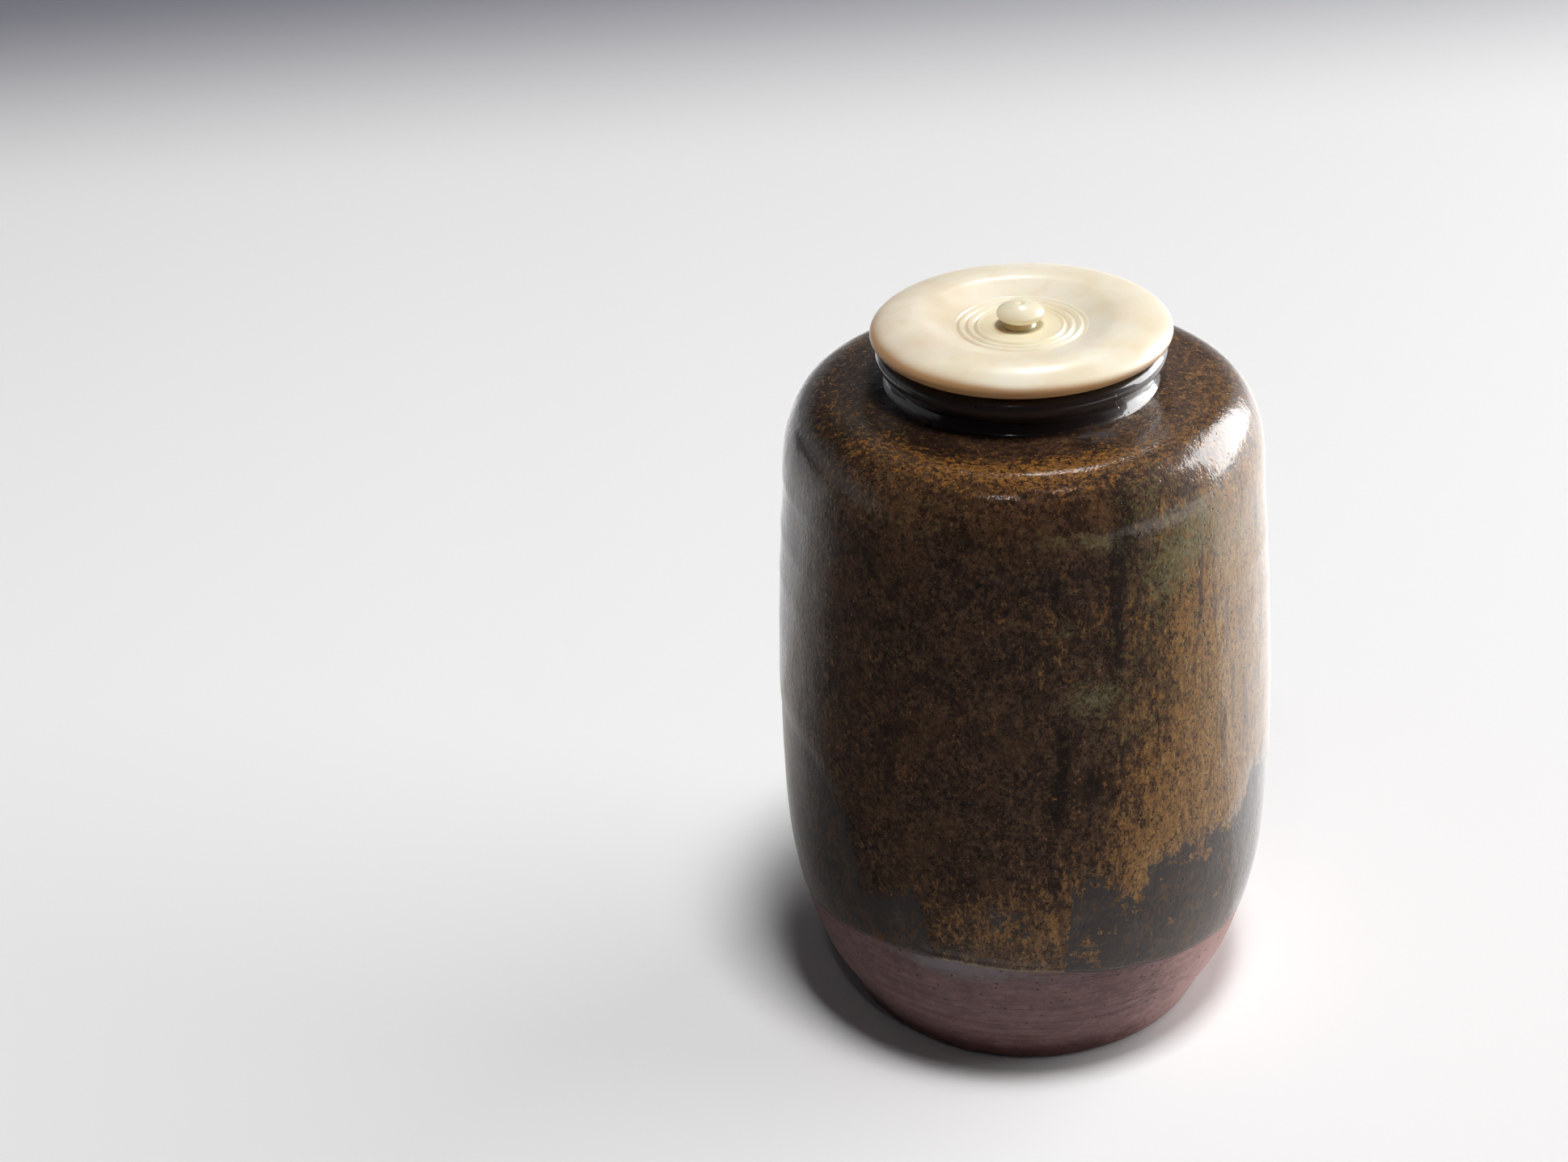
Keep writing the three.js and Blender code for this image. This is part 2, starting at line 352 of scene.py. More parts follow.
def make_piece(
    name: str, grid: Array, fields: dict["Field", Array], ring: bool = False, poles: bool = False
) -> bpy.types.Object:
    """Makes a smooth closed mesh from a grid of points that goes once round the axis.

    Args:
        name: name of the piece.
        grid: points in millimetres, rows by columns by 3, rows going up on the outside.
        fields: values of each attribute at the grid's points.
        ring: whether the last row joins the first, as on a coat.
        poles: whether the first and last row each shrink to one point on the axis.

    Returns:
        The new object, at the origin.
    """
    rows, around = grid.shape[:2]
    points = grid.reshape(-1, 3)
    quads, caps = woven(rows, around, ring), np.zeros((0, 3), int)
    if poles:
        caps = capped(rows, around)
        points = np.concatenate([points, [[0, 0, grid[0, 0, 2]], [0, 0, grid[-1, 0, 2]]]])
    totals = np.concatenate([np.full(len(quads), 4), np.full(len(caps), 3)])
    corners = np.concatenate([quads.ravel(), caps.ravel()])
    mesh = bpy.data.meshes.new(name)
    mesh.vertices.add(len(points))
    mesh.vertices.foreach_set("co", (points * MM).astype(np.float32).ravel())
    mesh.loops.add(len(corners))
    mesh.loops.foreach_set("vertex_index", corners.astype(np.int32))
    mesh.polygons.add(len(totals))
    mesh.polygons.foreach_set("loop_start", (np.cumsum(totals) - totals).astype(np.int32))
    mesh.polygons.foreach_set("use_smooth", np.ones(len(totals), bool))
    for attribute_name, values in fields.items():
        flat = values.reshape(rows * around, -1)
        if poles:
            flat = np.concatenate([flat, flat[:around].mean(0)[None], flat[-around:].mean(0)[None]])
        kind, key = ("FLOAT_VECTOR", "vector") if flat.shape[1] == 3 else ("FLOAT", "value")
        attribute = mesh.attributes.new(attribute_name.value, kind, "POINT")
        attribute.data.foreach_set(key, flat.astype(np.float32).ravel())
    mesh.update(calc_edges=True)
    mesh.validate()
    piece = bpy.data.objects.new(name, mesh)
    bpy.context.scene.collection.objects.link(piece)
    return piece


# Finishes


class Field(Enum):
    """Attributes that the meshes carry and the finishes read."""

    FLOW = "flow"
    SLATE = "slate"
    OLIVE = "olive"
    EMBER = "ember"
    POOL = "pool"
    SHADE = "shade"
    GOLD = "gold"
    HEM = "hem"
    HAZE = "haze"
    LOW = "low"
    STAIN = "stain"


class Pattern(Enum):
    """Kinds of pattern: the texture node and its own settings."""

    CLOUD = ("ShaderNodeTexNoise", {"Scale": 1.0, "Detail": 2.0, "Roughness": 0.55, "Distortion": 0.15})
    FROTH = ("ShaderNodeTexNoise", {"Scale": 1.0, "Detail": 4.0, "Roughness": 0.9, "Distortion": 0.0})
    CELLS = ("ShaderNodeTexVoronoi", {"Scale": 1.0, "Randomness": 1.0})


def linear(colour: str) -> tuple[float, float, float, float]:
    """Linear RGBA of an sRGB hex colour: v / 12.92 up to 0.04045, else ((v + 0.055) / 1.055)^2.4."""
    parts = [int(colour[i : i + 2], 16) / 255 for i in (1, 3, 5)]
    return (*[v / 12.92 if v <= 0.04045 else ((v + 0.055) / 1.055) ** 2.4 for v in parts], 1.0)


def add_node(
    tree: bpy.types.NodeTree, kind: str, inputs: dict[str | int, object] | None = None, **settings: object
) -> bpy.types.Node:
    """Adds a node with its settings and links.

    Args:
        tree: the node tree.
        kind: type of the node.
        inputs: for each input, a socket to link or a value to set.
        **settings: properties of the node.

    Returns:
        The new node.
    """
    node = tree.nodes.new(kind)
    for key, value in settings.items():
        setattr(node, key, value)
    for key, value in (inputs or {}).items():
        if isinstance(value, Socket):
            tree.links.new(value, node.inputs[key])
        else:
            node.inputs[key].default_value = value
    return node


def blank_tree(owner: bpy.types.Material | bpy.types.World) -> bpy.types.NodeTree:
    """Turns on the nodes of a material or world, clears them and returns their tree."""
    owner.use_nodes = True
    owner.node_tree.nodes.clear()
    return owner.node_tree


def add_surface(tree: bpy.types.NodeTree, inputs: dict[str | int, object]) -> None:
    """Adds the shader with its inputs, and the material's output."""
    shader = add_node(tree, "ShaderNodeBsdfPrincipled", inputs)
    add_node(tree, "ShaderNodeOutputMaterial", {"Surface": shader.outputs[0]})


def maths(tree: bpy.types.NodeTree, operation: str, *values: object) -> Socket:
    """Adds a node that works its operation on sockets or numbers, and returns its result."""
    return add_node(tree, "ShaderNodeMath", dict(enumerate(values)), operation=operation).outputs[0]


def blend(tree: bpy.types.NodeTree, share: Socket, first: object, second: object) -> Socket:
    """Adds a node that mixes two colours, (1 - share) first + share second, and returns the result."""
    inputs = {FACTOR: share, COLOUR_A: first, COLOUR_B: second}
    return add_node(tree, "ShaderNodeMix", inputs, data_type="RGBA").outputs[COLOUR_RESULT]


def eased(
    tree: bpy.types.NodeTree, value: Socket, start: float, end: float, low: float = 0.0, high: float = 1.0
) -> Socket:
    """Adds a node that eases from low at start to high at end.

    Args:
        tree: the node tree.
        value: the value that is followed.
        start: where the change starts.
        end: where it ends.
        low: the result before the start.
        high: the result after the end.

    Returns:
        The socket that holds the result.
    """
    inputs = {"Value": value, "From Min": start, "From Max": end, "To Min": low, "To Max": high}
    return add_node(tree, "ShaderNodeMapRange", inputs, interpolation_type="SMOOTHSTEP").outputs[0]


@dataclass(frozen=True)
class Touch:
    """One touch of colour, gloss or relief, laid where a pattern is high.

    The touch is as strong as share * smoothstep(low, high, pattern + gain * field). Across and
    along are the size of the pattern's cells in millimetres, round the jar and down the run.
    """

    across: float
    along: float
    low: float
    high: float
    colour: str | None = None
    rough: float | None = None
    depth: float = 0.0
    share: float = 1.0
    pattern: Pattern = Pattern.CLOUD
    field: Field | None = None
    gain: float = 0.0
    shift: float = 0.0

    def amount(self, tree: bpy.types.NodeTree, flow: Socket) -> Socket:
        """Adds the nodes that give the touch's strength.

        Args:
            tree: the material's node tree.
            flow: the flow coordinates, in millimetres.

        Returns:
            The socket that holds the strength.
        """
        scale = (1 / self.across, 1 / self.across, 1 / self.along)
        inputs = {"Vector": flow, "Scale": scale, "Location": (self.shift,) * 3}
        place = add_node(tree, "ShaderNodeMapping", inputs)
        kind, settings = self.pattern.value
        value = add_node(tree, kind, {"Vector": place.outputs[0], **settings}).outputs[0]
        if self.field:
            reader = add_node(tree, "ShaderNodeAttribute", attribute_name=self.field.value)
            value = maths(tree, "MULTIPLY_ADD", reader.outputs["Fac"], self.gain, value)
        return eased(tree, value, self.low, self.high, 0.0, self.share)


@dataclass(frozen=True)
class Finish:
    """A finish: a base colour and roughness, and touches laid over them in order."""

    name: str
    base: str
    rough: float
    touches: tuple[Touch, ...]
    constants: dict[str, object] = field(default_factory=dict)

    def build(self) -> bpy.types.Material:
        """Makes the material.

        Returns:
            The new material.
        """
        material = bpy.data.materials.new(self.name)
        tree = blank_tree(material)
        flow = add_node(tree, "ShaderNodeAttribute", attribute_name=Field.FLOW.value).outputs["Vector"]
        colour: object = linear(self.base)
        rough: object = self.rough
        height: object = 0.0
        for touch in self.touches:
            amount = touch.amount(tree, flow)
            if touch.colour:
                colour = blend(tree, amount, colour, linear(touch.colour))
            if touch.rough is not None:
                inputs = {FACTOR: amount, VALUE_A: rough, VALUE_B: touch.rough}
                rough = add_node(tree, "ShaderNodeMix", inputs).outputs[VALUE_RESULT]
            if touch.depth:
                height = maths(tree, "MULTIPLY_ADD", amount, touch.depth, height)
        inputs = {"Base Color": colour, "Roughness": rough, **self.constants}
        if isinstance(height, Socket):
            bump = add_node(tree, "ShaderNodeBump", {"Height": height, "Distance": MM, "Strength": 1.0})
            inputs["Normal"] = inputs["Coat Normal"] = bump.outputs[0]
        add_surface(tree, inputs)
        return material


# Short names for the lists of touches
FROTH, CELLS = Pattern.FROTH, Pattern.CELLS

# What both glazes share, so that their meeting has no step of colour: a melt that broke into
# brown, amber and ochre specks of all sizes up to a few millimetres, drawn out on the sunny side,
# where their weight is partly painted light from the window.
MELT = (
    Touch(0.9, 1.2, 0.42, 0.60, "#563e2f", pattern=FROTH),
    Touch(0.5, 0.6, 0.50, 0.66, "#6e5135", share=0.7, pattern=FROTH, shift=3.1),
    Touch(6.0, 8.0, 0.48, 0.66, "#5c4028", share=0.4, shift=6.6),
    Touch(3.5, 5.0, 0.48, 0.68, "#261a17", share=0.5, shift=1.7),
    # Ochre where the gold field is high: denser on the side that the window lights, which is partly painted
    # light
    Touch(1.1, 2.2, 0.60, 0.76, "#90673a", pattern=FROTH, field=Field.GOLD, gain=0.27, shift=7.7),
    Touch(0.6, 1.4, 0.66, 0.80, "#ac884f", share=0.8, pattern=FROTH,
          field=Field.GOLD, gain=0.19, shift=1.9),
    Touch(1.3, 9.0, 0.60, 0.76, "#4b3324", share=0.65, field=Field.GOLD, gain=0.08, shift=5.2),
    Touch(0.5, 0.7, 0.57, 0.66, "#452f22", share=0.65, pattern=FROTH,
          field=Field.GOLD, gain=0.05, shift=8.1),
    # Dark runs, with painted shade on the left and by the neck's foot, where the shade field is high
    Touch(1.2, 2.6, 0.60, 0.86, "#1f1512", share=0.85, pattern=FROTH, field=Field.SHADE, gain=0.35),
    Touch(0.8, 0.8, 0.58, 0.72, "#966630", share=0.9, pattern=FROTH,
          field=Field.EMBER, gain=0.2, shift=2.2),
    Touch(0.55, 0.55, 0.54, 0.62, "#1c110c", share=0.95, pattern=FROTH,
          field=Field.EMBER, gain=0.05, shift=4.9),
    Touch(0.8, 1.0, 0.56, 0.78, "#6d6640", share=0.75, pattern=FROTH, field=Field.OLIVE, gain=0.2),
    Touch(0.5, 0.6, 0.62, 0.80, "#87856a", share=0.55, pattern=FROTH,
          field=Field.OLIVE, gain=0.18, shift=4.4),
    Touch(3.0, 3.0, 0.75, 1.35, "#352c29", rough=0.3, field=Field.POOL, gain=1.0, shift=8.3),
    Touch(1.6, 1.8, 0.46, 0.54, "#433c3a", rough=0.5, pattern=FROTH,
          field=Field.SLATE, gain=0.2, shift=6.1),
    Touch(1.6, 1.8, 0.72, 0.88, "#5a524e", share=0.7, pattern=FROTH,
          field=Field.SLATE, gain=0.25, shift=2.6),
    Touch(0.8, 1.5, 0.71, 0.82, "#6b4a2c", share=0.75, pattern=FROTH,
          field=Field.SLATE, gain=0.22, shift=9.4),
    # Pale line along the glaze's lower edge: its rolled edge, partly a painted highlight
    Touch(0.5, 0.5, 0.95, 1.4, "#9a8a68", share=0.75, field=Field.HEM, gain=1.0),
    Touch(1.3, 1.3, 0.16, 0.08, "#150c09", depth=-0.04, share=0.7, pattern=CELLS),
    Touch(3.2, 4.0, 0.3, 0.7, depth=0.028, shift=1.2),
    Touch(0.55, 0.8, 0.35, 0.65, depth=0.009, field=Field.POOL, gain=-0.5, shift=5.8),
    Touch(0.3, 1.2, 0.3, 0.7, depth=0.006, field=Field.POOL, gain=-0.6, shift=2.9),
)

# Glass over its own fine roughness: a sharp reflection on top of a broad soft one
GLASSY = {
    "IOR": 1.5,
    "Specular IOR Level": 0.17,
    "Coat Weight": 0.8,
    "Coat Roughness": 0.09,
    "Coat IOR": 1.5,
}

MELT_BASE, MELT_ROUGH = "#271915", 0.42

# Tenmoku-like iron glaze, dipped: slate where it shows, and darker where it pooled by the neck
IRON_GLAZE = Finish("iron glaze", MELT_BASE, MELT_ROUGH, MELT, GLASSY)

# Amber glaze, poured over the iron: glassy, mottled brown to ochre, with streaks down the run
AMBER_GLAZE = Finish("amber glaze", MELT_BASE, MELT_ROUGH, MELT, GLASSY)

# Unglazed iron-bearing stoneware off the wheel: dry, mauve brown, with fine lines round it
BARE_STONEWARE = Finish(
    "bare stoneware",
    "#7c5d5b",
    0.62,
    (
        Touch(4.0, 3.0, 0.40, 0.62, "#67494a", share=0.8, pattern=FROTH),
        Touch(16.0, 0.6, 0.48, 0.72, "#553a3a", share=0.7, shift=1.4),
        Touch(30.0, 0.25, 0.64, 0.72, "#3d2828", share=0.6, shift=7.3),
        Touch(1.2, 1.0, 0.52, 0.68, "#8b7270", share=0.4, pattern=FROTH, shift=2.0),
        Touch(3.0, 2.0, 0.6, 1.4, "#553231", share=0.85, field=Field.LOW, gain=1.0, shift=1.0),
        Touch(2.2, 1.2, 0.62, 1.25, "#827a80", share=0.85, pattern=FROTH,
              field=Field.HAZE, gain=0.8, shift=4.0),
        # Painted light: paler, pinker clay on the side that the window lights, standing in for its sheen
        # there
        Touch(2.5, 1.2, 0.5, 1.15, "#c09a95", share=0.85, pattern=FROTH,
              field=Field.GOLD, gain=0.6, shift=5.3),
        Touch(1.5, 1.5, 0.17, 0.07, "#2a1d1c", share=0.8, pattern=CELLS),
        Touch(18.0, 0.5, 0.3, 0.7, depth=0.018, shift=6.0),
        Touch(0.4, 0.4, 0.3, 0.7, depth=0.012, shift=3.0),
    ),
    {"IOR": 1.5, "Specular IOR Level": 0.45},
)

# Turned and polished ivory-coloured lid: dense and creamy, with faint clouds, and a tan colour low on the
# rim and on the left that is painted shade and warm light bounced from the amber glaze
IVORY_LID = Finish(
    "polished ivory-coloured lid",
    "#f5ecd8",
    0.32,
    (
        Touch(9.0, 9.0, 0.36, 0.68, "#e9dbbd", share=0.7),
        Touch(2.5, 2.5, 0.5, 0.75, "#ebd9bb", share=0.5, shift=4.0),
        # Tan where the field is high: painted shade and warm bounced light on the rim and the left, and
        # painted shadow with staining by the knob's foot
        Touch(14.0, 14.0, 0.7, 1.6, "#b38450", share=0.9, field=Field.STAIN, gain=1.0),
        Touch(1.5, 1.5, 0.6, 1.5, "#f0e5bd", share=0.55, field=Field.GOLD, gain=1.0, shift=5.0),
        Touch(1.2, 0.25, 0.3, 0.7, depth=0.004, shift=2.0),
    ),
    {
        "IOR": 1.5,
        "Specular IOR Level": 0.25,
        "Coat Weight": 0.13,
        "Coat Roughness": 0.1,
        "Coat IOR": 1.5,
        "Subsurface Weight": 0.3,
        "Subsurface Radius": (1.0, 0.6, 0.35),
        "Subsurface Scale": 0.002,
    },
)

# The same for the knob, a little more glossy, with amber at its foot that is partly old staining in the
# joint and partly painted shade under the ball
IVORY_KNOB = Finish(
    "polished ivory-coloured knob",
    "#f1e8d0",
    0.18,
    (
        Touch(2.0, 0.8, 0.4, 0.75, "#ecdcb4", share=0.6),
        Touch(0.8, 0.5, 0.7, 1.4, "#d4ac62", share=0.65, field=Field.STAIN, gain=1.0),
    ),
    {
        "IOR": 1.5,
        "Subsurface Weight": 0.5,
        "Subsurface Radius": (1.0, 0.7, 0.35),
        "Subsurface Scale": 0.002,
    },
)

# Beaten gold leaf on paper: soft metal sheen over the fine wrinkles of the paper
GOLD_LEAF = Finish(
    "gold leaf on paper",
    "#d8a546",
    0.32,
    (
        Touch(2.5, 2.5, 0.5, 0.8, "#c48a30", rough=0.45, share=0.5),
        Touch(0.6, 0.6, 0.3, 0.7, depth=0.02, shift=3.0),
    ),
    {"Metallic": 1.0},
)


# The jar


@dataclass(frozen=True)
class Site:
    """Points on the jar, with their distance along the outline past the foot of the neck."""

    azimuth: Array
    along: Array
    height: Array
    past_neck: Array

    def drift(self, cells: int, pitch: float, seed: int) -> Array:
        """A drift field at the points."""
        return drift(self.azimuth, self.along, cells, pitch, seed)


@dataclass
class Jar:
    """The thrown jar and its two coats of glaze."""

    foot_radius: float = 23.1
    foot_chamfer: float = 0.5
    belly_radius: float = 30.38
    belly_height: float = 34.7
    wall_rise: float = 38.0
    shoulder_radius: float = 28.2
    shoulder_rise: float = 10.7
    shoulder_width: float = 6.5
    neck_radius: float = 14.9
    neck_foot_width: float = 0.8
    neck_foot_rise: float = 0.85
    neck_waist_rise: float = 1.65
    lip_overhang: float = 1.78
    lip_width: float = 2.5
    lip_height: float = 1.7
    lip_rise: float = 2.9
    wall: float = 2.7
    floor: float = 3.4
    neck_wall: float = 2.3
    bore_ease: float = 1.2

    coat_gap: float = 0.04
    base_coat: float = 0.3
    over_coat: float = 0.18
    feather: float = 0.06
    edge_share: float = 0.3
    edge_reach: float = 9.0
    inner_glaze_depth: float = 3.5
    line_height: float = 15.7
    line_tilt: float = 2.5
    line_tilt_azimuth: float = -12.0
    line_wave: float = 1.6
    line_wave_azimuth: float = -17.5
    line_tremor: float = 0.12
    lower_roll: float = 0.5
    upper_roll: float = 0.4
    edge_softness: float = 3.5
    band_below_neck: float = 7.2
    band_width: float = 3.2
    collar_below_neck: float = 4.0
    collar_width: float = 2.8
    hem_width: float = 0.45
    haze_reach: float = 3.2
    fine_rows_reach: float = 24.0
    neck_rows_start: float = 76.0

    cut_middle: tuple[float, float] = (4.5, -2.0)
    cut_pitch: float = 1.7
    cut_depth: float = 0.12
    broad_unevenness: float = 0.06
    fine_unevenness: float = 0.02
    relief_starts: tuple[float, float] = (0.0, 5.0)
    relief_ends: tuple[float, float] = (79.0, 82.0)
    ring_sway: float = 0.5
    # Height, rise and width of each ring
    throwing_rings: tuple[tuple[float, float, float], ...] = (
        (60.2, 0.06, 1.4), (66.3, 0.07, 1.3), (73.2, 0.09, 1.3), (53.0, 0.03, 1.6), (45.5, 0.03, 1.8),
    )

    lower_wall: tuple[tuple[float, float], ...] = (
        (0.26, 0.115), (0.615, 0.27), (0.885, 0.505), (0.985, 0.765), (1.0, 1.0),
    )
    upper_bulge: float = 1.6
    squareness: float = 2.45
    shoulder_top: tuple[tuple[float, float], ...] = ((0.4, 0.28), (0.8, 0.62))
    fillet: tuple[float, float] = (0.73, 0.56)

    # Lower edge of the amber run: azimuth and height, in order round the jar
    amber_edge: tuple[tuple[float, float], ...] = (
        (-180, 33.0), (-166, 26.0), (-152, 21.0), (-138, 24.0), (-122, 31.0), (-104, 37.0),
        (-88, 40.5), (-72, 42.5), (-57, 42.0), (-51, 40.2), (-46, 37.0), (-43, 32.3), (-40.5, 28.0),
        (-37.6, 26.2), (-33, 27.2), (-29, 28.4), (-26, 29.4), (-24, 28.4), (-22.6, 23.0),
        (-21.5, 15.0), (8.6, 15.0), (9.6, 24.0), (10.6, 31.0), (12.4, 33.0), (16.6, 32.9),
        (20.0, 31.6), (21.5, 29.0), (27.0, 28.4), (28.6, 33.5), (35.3, 33.0), (38.9, 34.3),
        (43, 33.6), (51, 32.8), (56, 33.6), (63.6, 37.8), (74, 36.0), (88, 30.0), (104, 24.0),
        (118, 29.0), (132, 22.0), (148, 20.0), (164, 28.0), (180, 33.0),
    )

    def __post_init__(self) -> None:
        """Works out the outline and the stations that follow from the sizes."""
        self.shoulder_start = self.belly_height + self.wall_rise
        self.crest_radius = self.shoulder_radius - self.shoulder_width
        self.crest_height = self.shoulder_start + self.shoulder_rise
        self.neck_foot_radius = self.neck_radius + self.neck_foot_width
        self.neck_foot_height = self.crest_height + self.neck_foot_rise
        self.neck_height = self.neck_foot_height + self.neck_waist_rise
        self.bore = self.neck_radius - self.neck_wall
        self.lip_radius = self.neck_radius + self.lip_overhang
        self.lip_top = self.neck_height + self.lip_rise
        self.outline = Outline(np.concatenate([
            self.wall_outline(0.0, 0.0), self.neck_outline(), self.lip_outline(),
            line((self.bore, self.neck_height), (self.bore, self.lip_top - self.inner_glaze_depth), 12),
        ]))
        self.outline.soften(float(self.outline.reach(self.crest_height - 0.05)), 2.5, 4.0)

    def wall_outline(self, inset: float, bottom: float) -> Array:
        """Side of the jar from foot to shoulder crest.

        The lower wall is a spline from foot to belly, the upper wall is belly - drop * t^bulge, and
        the shoulder is a superellipse: (w cos^(2/n), h sin^(2/n)) of the angle from 0 to 90 degrees.

        Args:
            inset: how far the outline is drawn in.
            bottom: height at which it starts.

        Returns:
            (radius, height) rows.
        """
        foot, belly = self.foot_radius - inset, self.belly_radius - inset
        start, widest = (foot, bottom), (belly, self.belly_height)
        lower = spline([start, *between(start, widest, self.lower_wall)], 160)
        t = np.linspace(0, 1, 90)[1:]
        drop = self.belly_radius - self.shoulder_radius
        upper_radius = belly - drop * t**self.upper_bulge
        upper = np.stack([upper_radius, self.belly_height + self.wall_rise * t], axis=1)
        angle = np.linspace(0, math.pi / 2, 90)[1:]
        power = 2 / self.squareness
        rise = self.crest_height - inset - self.shoulder_start
        shoulder = np.stack([
            self.crest_radius - inset + self.shoulder_width * np.cos(angle) ** power,
            self.shoulder_start + rise * np.sin(angle) ** power,
        ], axis=1)
        return np.concatenate([lower, upper, shoulder])

    def neck_outline(self) -> Array:
        """Outside of the neck: a spline over the shoulder's top and up its fillet to the waist.

        Returns:
            (radius, height) rows.
        """
        crest = (self.crest_radius, self.crest_height)
        foot = (self.neck_foot_radius, self.neck_foot_height)
        waist = (self.neck_radius, self.neck_height)
        top, fillet = between(crest, foot, self.shoulder_top), between(foot, waist, (self.fillet,))
        return spline([crest, *top, foot, *fillet, waist], 200)[1:]

    def lip_outline(self) -> Array:
        """Rolled lip: an elliptical bead carried a little outside the neck."""
        centre = (self.lip_radius - self.lip_width / 2, self.lip_top - self.lip_height / 2)
        return arc(centre, self.lip_width / 2, self.lip_height / 2, -50, 170, 80)

    def glaze_line(self, azimuth: Array) -> Array:
        """Height where the glaze stops: the tilt of the dip, a wave in each half turn, and a tremor.

        Args:
            azimuth: angle round the jar, in radians.

        Returns:
            The height at each azimuth.
        """
        tilt = self.line_tilt * np.cos(azimuth - math.radians(self.line_tilt_azimuth))
        wave = self.line_wave * np.cos(2 * (azimuth - math.radians(self.line_wave_azimuth)))
        tremor = drift(azimuth, np.zeros_like(azimuth), cells=64, pitch=1.0, seed=11)
        return self.line_height + tilt + wave + self.line_tremor * tremor

    def run_edge(self, azimuth: Array) -> Array:
        """Height of the amber run's lower edge; below the glaze line where the run covers it all.

        Between two points of the edge it eases from one height to the next.

        Args:
            azimuth: angle round the jar, in radians.

        Returns:
            The height at each azimuth.
        """
        degrees = np.degrees(azimuth)
        at = np.array([a for a, _ in self.amber_edge])
        height = np.array([h for _, h in self.amber_edge])
        i = np.clip(np.searchsorted(at, degrees, side="right") - 1, 0, len(at) - 2)
        share = smoothstep(0, 1, (degrees - at[i]) / (at[i + 1] - at[i]))
        return height[i] + (height[i + 1] - height[i]) * share

    def iron_depth(self, azimuth: Array, along: Array) -> Array:
        """How far the iron glaze stands off the clay: it thins towards its edge as it ran off.

        Args:
            azimuth: angle round the jar, in radians.
            along: distance along the outline.

        Returns:
            The depth at each point.
        """
        start = self.outline.reach(self.glaze_line(azimuth))
        grown = smoothstep(0, self.edge_reach, along - start)
        return self.base_coat * (self.edge_share + (1 - self.edge_share) * grown)

    def relief(self, azimuth: Array, along: Array) -> Array:
        """Throwing rings and hand-made unevenness of the wall.

        Each ring is rise * bell(level, middle, width), where the level sways round the jar. The
        unevenness is two drift fields, lowered so that the belly keeps its widest radius.

        Args:
            azimuth: angle round the jar, in radians.
            along: distance along the outline.

        Returns:
            How far each point moves outwards.
        """
        _, height = self.outline.at(along)
        level = height + self.ring_sway * np.sin(azimuth + 0.6)
        rings = sum(rise * bell(level, middle, width) for middle, rise, width in self.throwing_rings)
        wall = smoothstep(*self.relief_starts, height) * (1 - smoothstep(*self.relief_ends, height))
        broad = drift(azimuth, along, cells=7, pitch=17.0, seed=3)
        fine = drift(azimuth, along, cells=40, pitch=5.0, seed=4)
        uneven = self.broad_unevenness * (broad - 1) + self.fine_unevenness * (fine - 1)
        return (rings + uneven) * wall

    def cover(self, azimuth: Array, along: Array) -> Array:
        """How far points lie inside the amber: height over the run's edge / softness, and its islands.

        Args:
            azimuth: angle round the jar, in radians.
            along: distance along the outline.

        Returns:
            The cover at each point, above 0 where the amber lies.
        """
        azimuth, along = np.broadcast_arrays(azimuth, along)
        _, height = self.outline.at(along)
        inside = (height - self.run_edge(azimuth)) / self.edge_softness
        inside = np.where(along < self.outline.reach(self.neck_foot_height), inside, 1.0)
        return np.clip(inside, -1, 1) + patches(AMBER_SPOTS, azimuth, height, self.belly_radius)

    def slate(self, site: Site) -> Array:
        """Where the iron glaze shows: lilac patch - cover - wander, clipped, and never on the neck.

        The lilac patch lies where the amber is thin by the neck, and the wander is two drift fields.

        Args:
            site: points on the jar.

        Returns:
            The field, from -1 to 1.
        """
        wander = 0.25 * site.drift(cells=60, pitch=3.5, seed=21)
        wander = wander + 0.15 * site.drift(cells=130, pitch=1.8, seed=22)
        lilac = 1.3 * bell(site.past_neck, -1.8, 1.5) * bell(site.azimuth, 0.52, 0.22)
        shown = lilac - self.cover(site.azimuth, site.along) - wander
        return np.where(site.past_neck < 0, np.clip(shown, -1.0, 1.0), -1.0)

    def ember(self, site: Site) -> Array:
        """The amber band round the shoulder's edge: a bell along the outline, strongest in front.

        Args:
            site: points on the jar.

        Returns:
            The field.
        """
        band = bell(site.past_neck, -self.band_below_neck, self.band_width)
        band = band * (0.85 + 0.3 * site.drift(cells=24, pitch=6.0, seed=31))
        return band * (0.35 + 0.65 * bell(site.azimuth, 0.1, 1.0))

    def gold(self, site: Site) -> Array:
        """Ochre specks: dense on the sunny side and in a low band in front, scarce by the crest. Their
        weight on the sunny side, which the window lights, is partly painted light.

        The sunny side is a smoothstep of the azimuth, which starts earlier low on the wall.

        Args:
            site: points on the jar.

        Returns:
            The field.
        """
        low = 1 - smoothstep(34.0, 58.0, site.height)
        sunny = smoothstep(0.0, 1.0, (site.azimuth - 0.15 + 0.12 * low) / (0.8 - 0.2 * low))
        sunny = sunny * (1 - smoothstep(1.9, 2.8, site.azimuth))
        low_band = 0.45 * bell(site.height, 25.0, 8.0) * bell(site.azimuth, 0.0, 0.65)
        gold = 0.95 * sunny + low_band + 0.22 * site.drift(cells=9, pitch=14.0, seed=91)
        gold = gold + 0.15 * site.drift(cells=66, pitch=7.0, seed=92)
        return gold * (1 - 0.6 * smoothstep(self.crest_height - 9.0, self.crest_height, site.height))

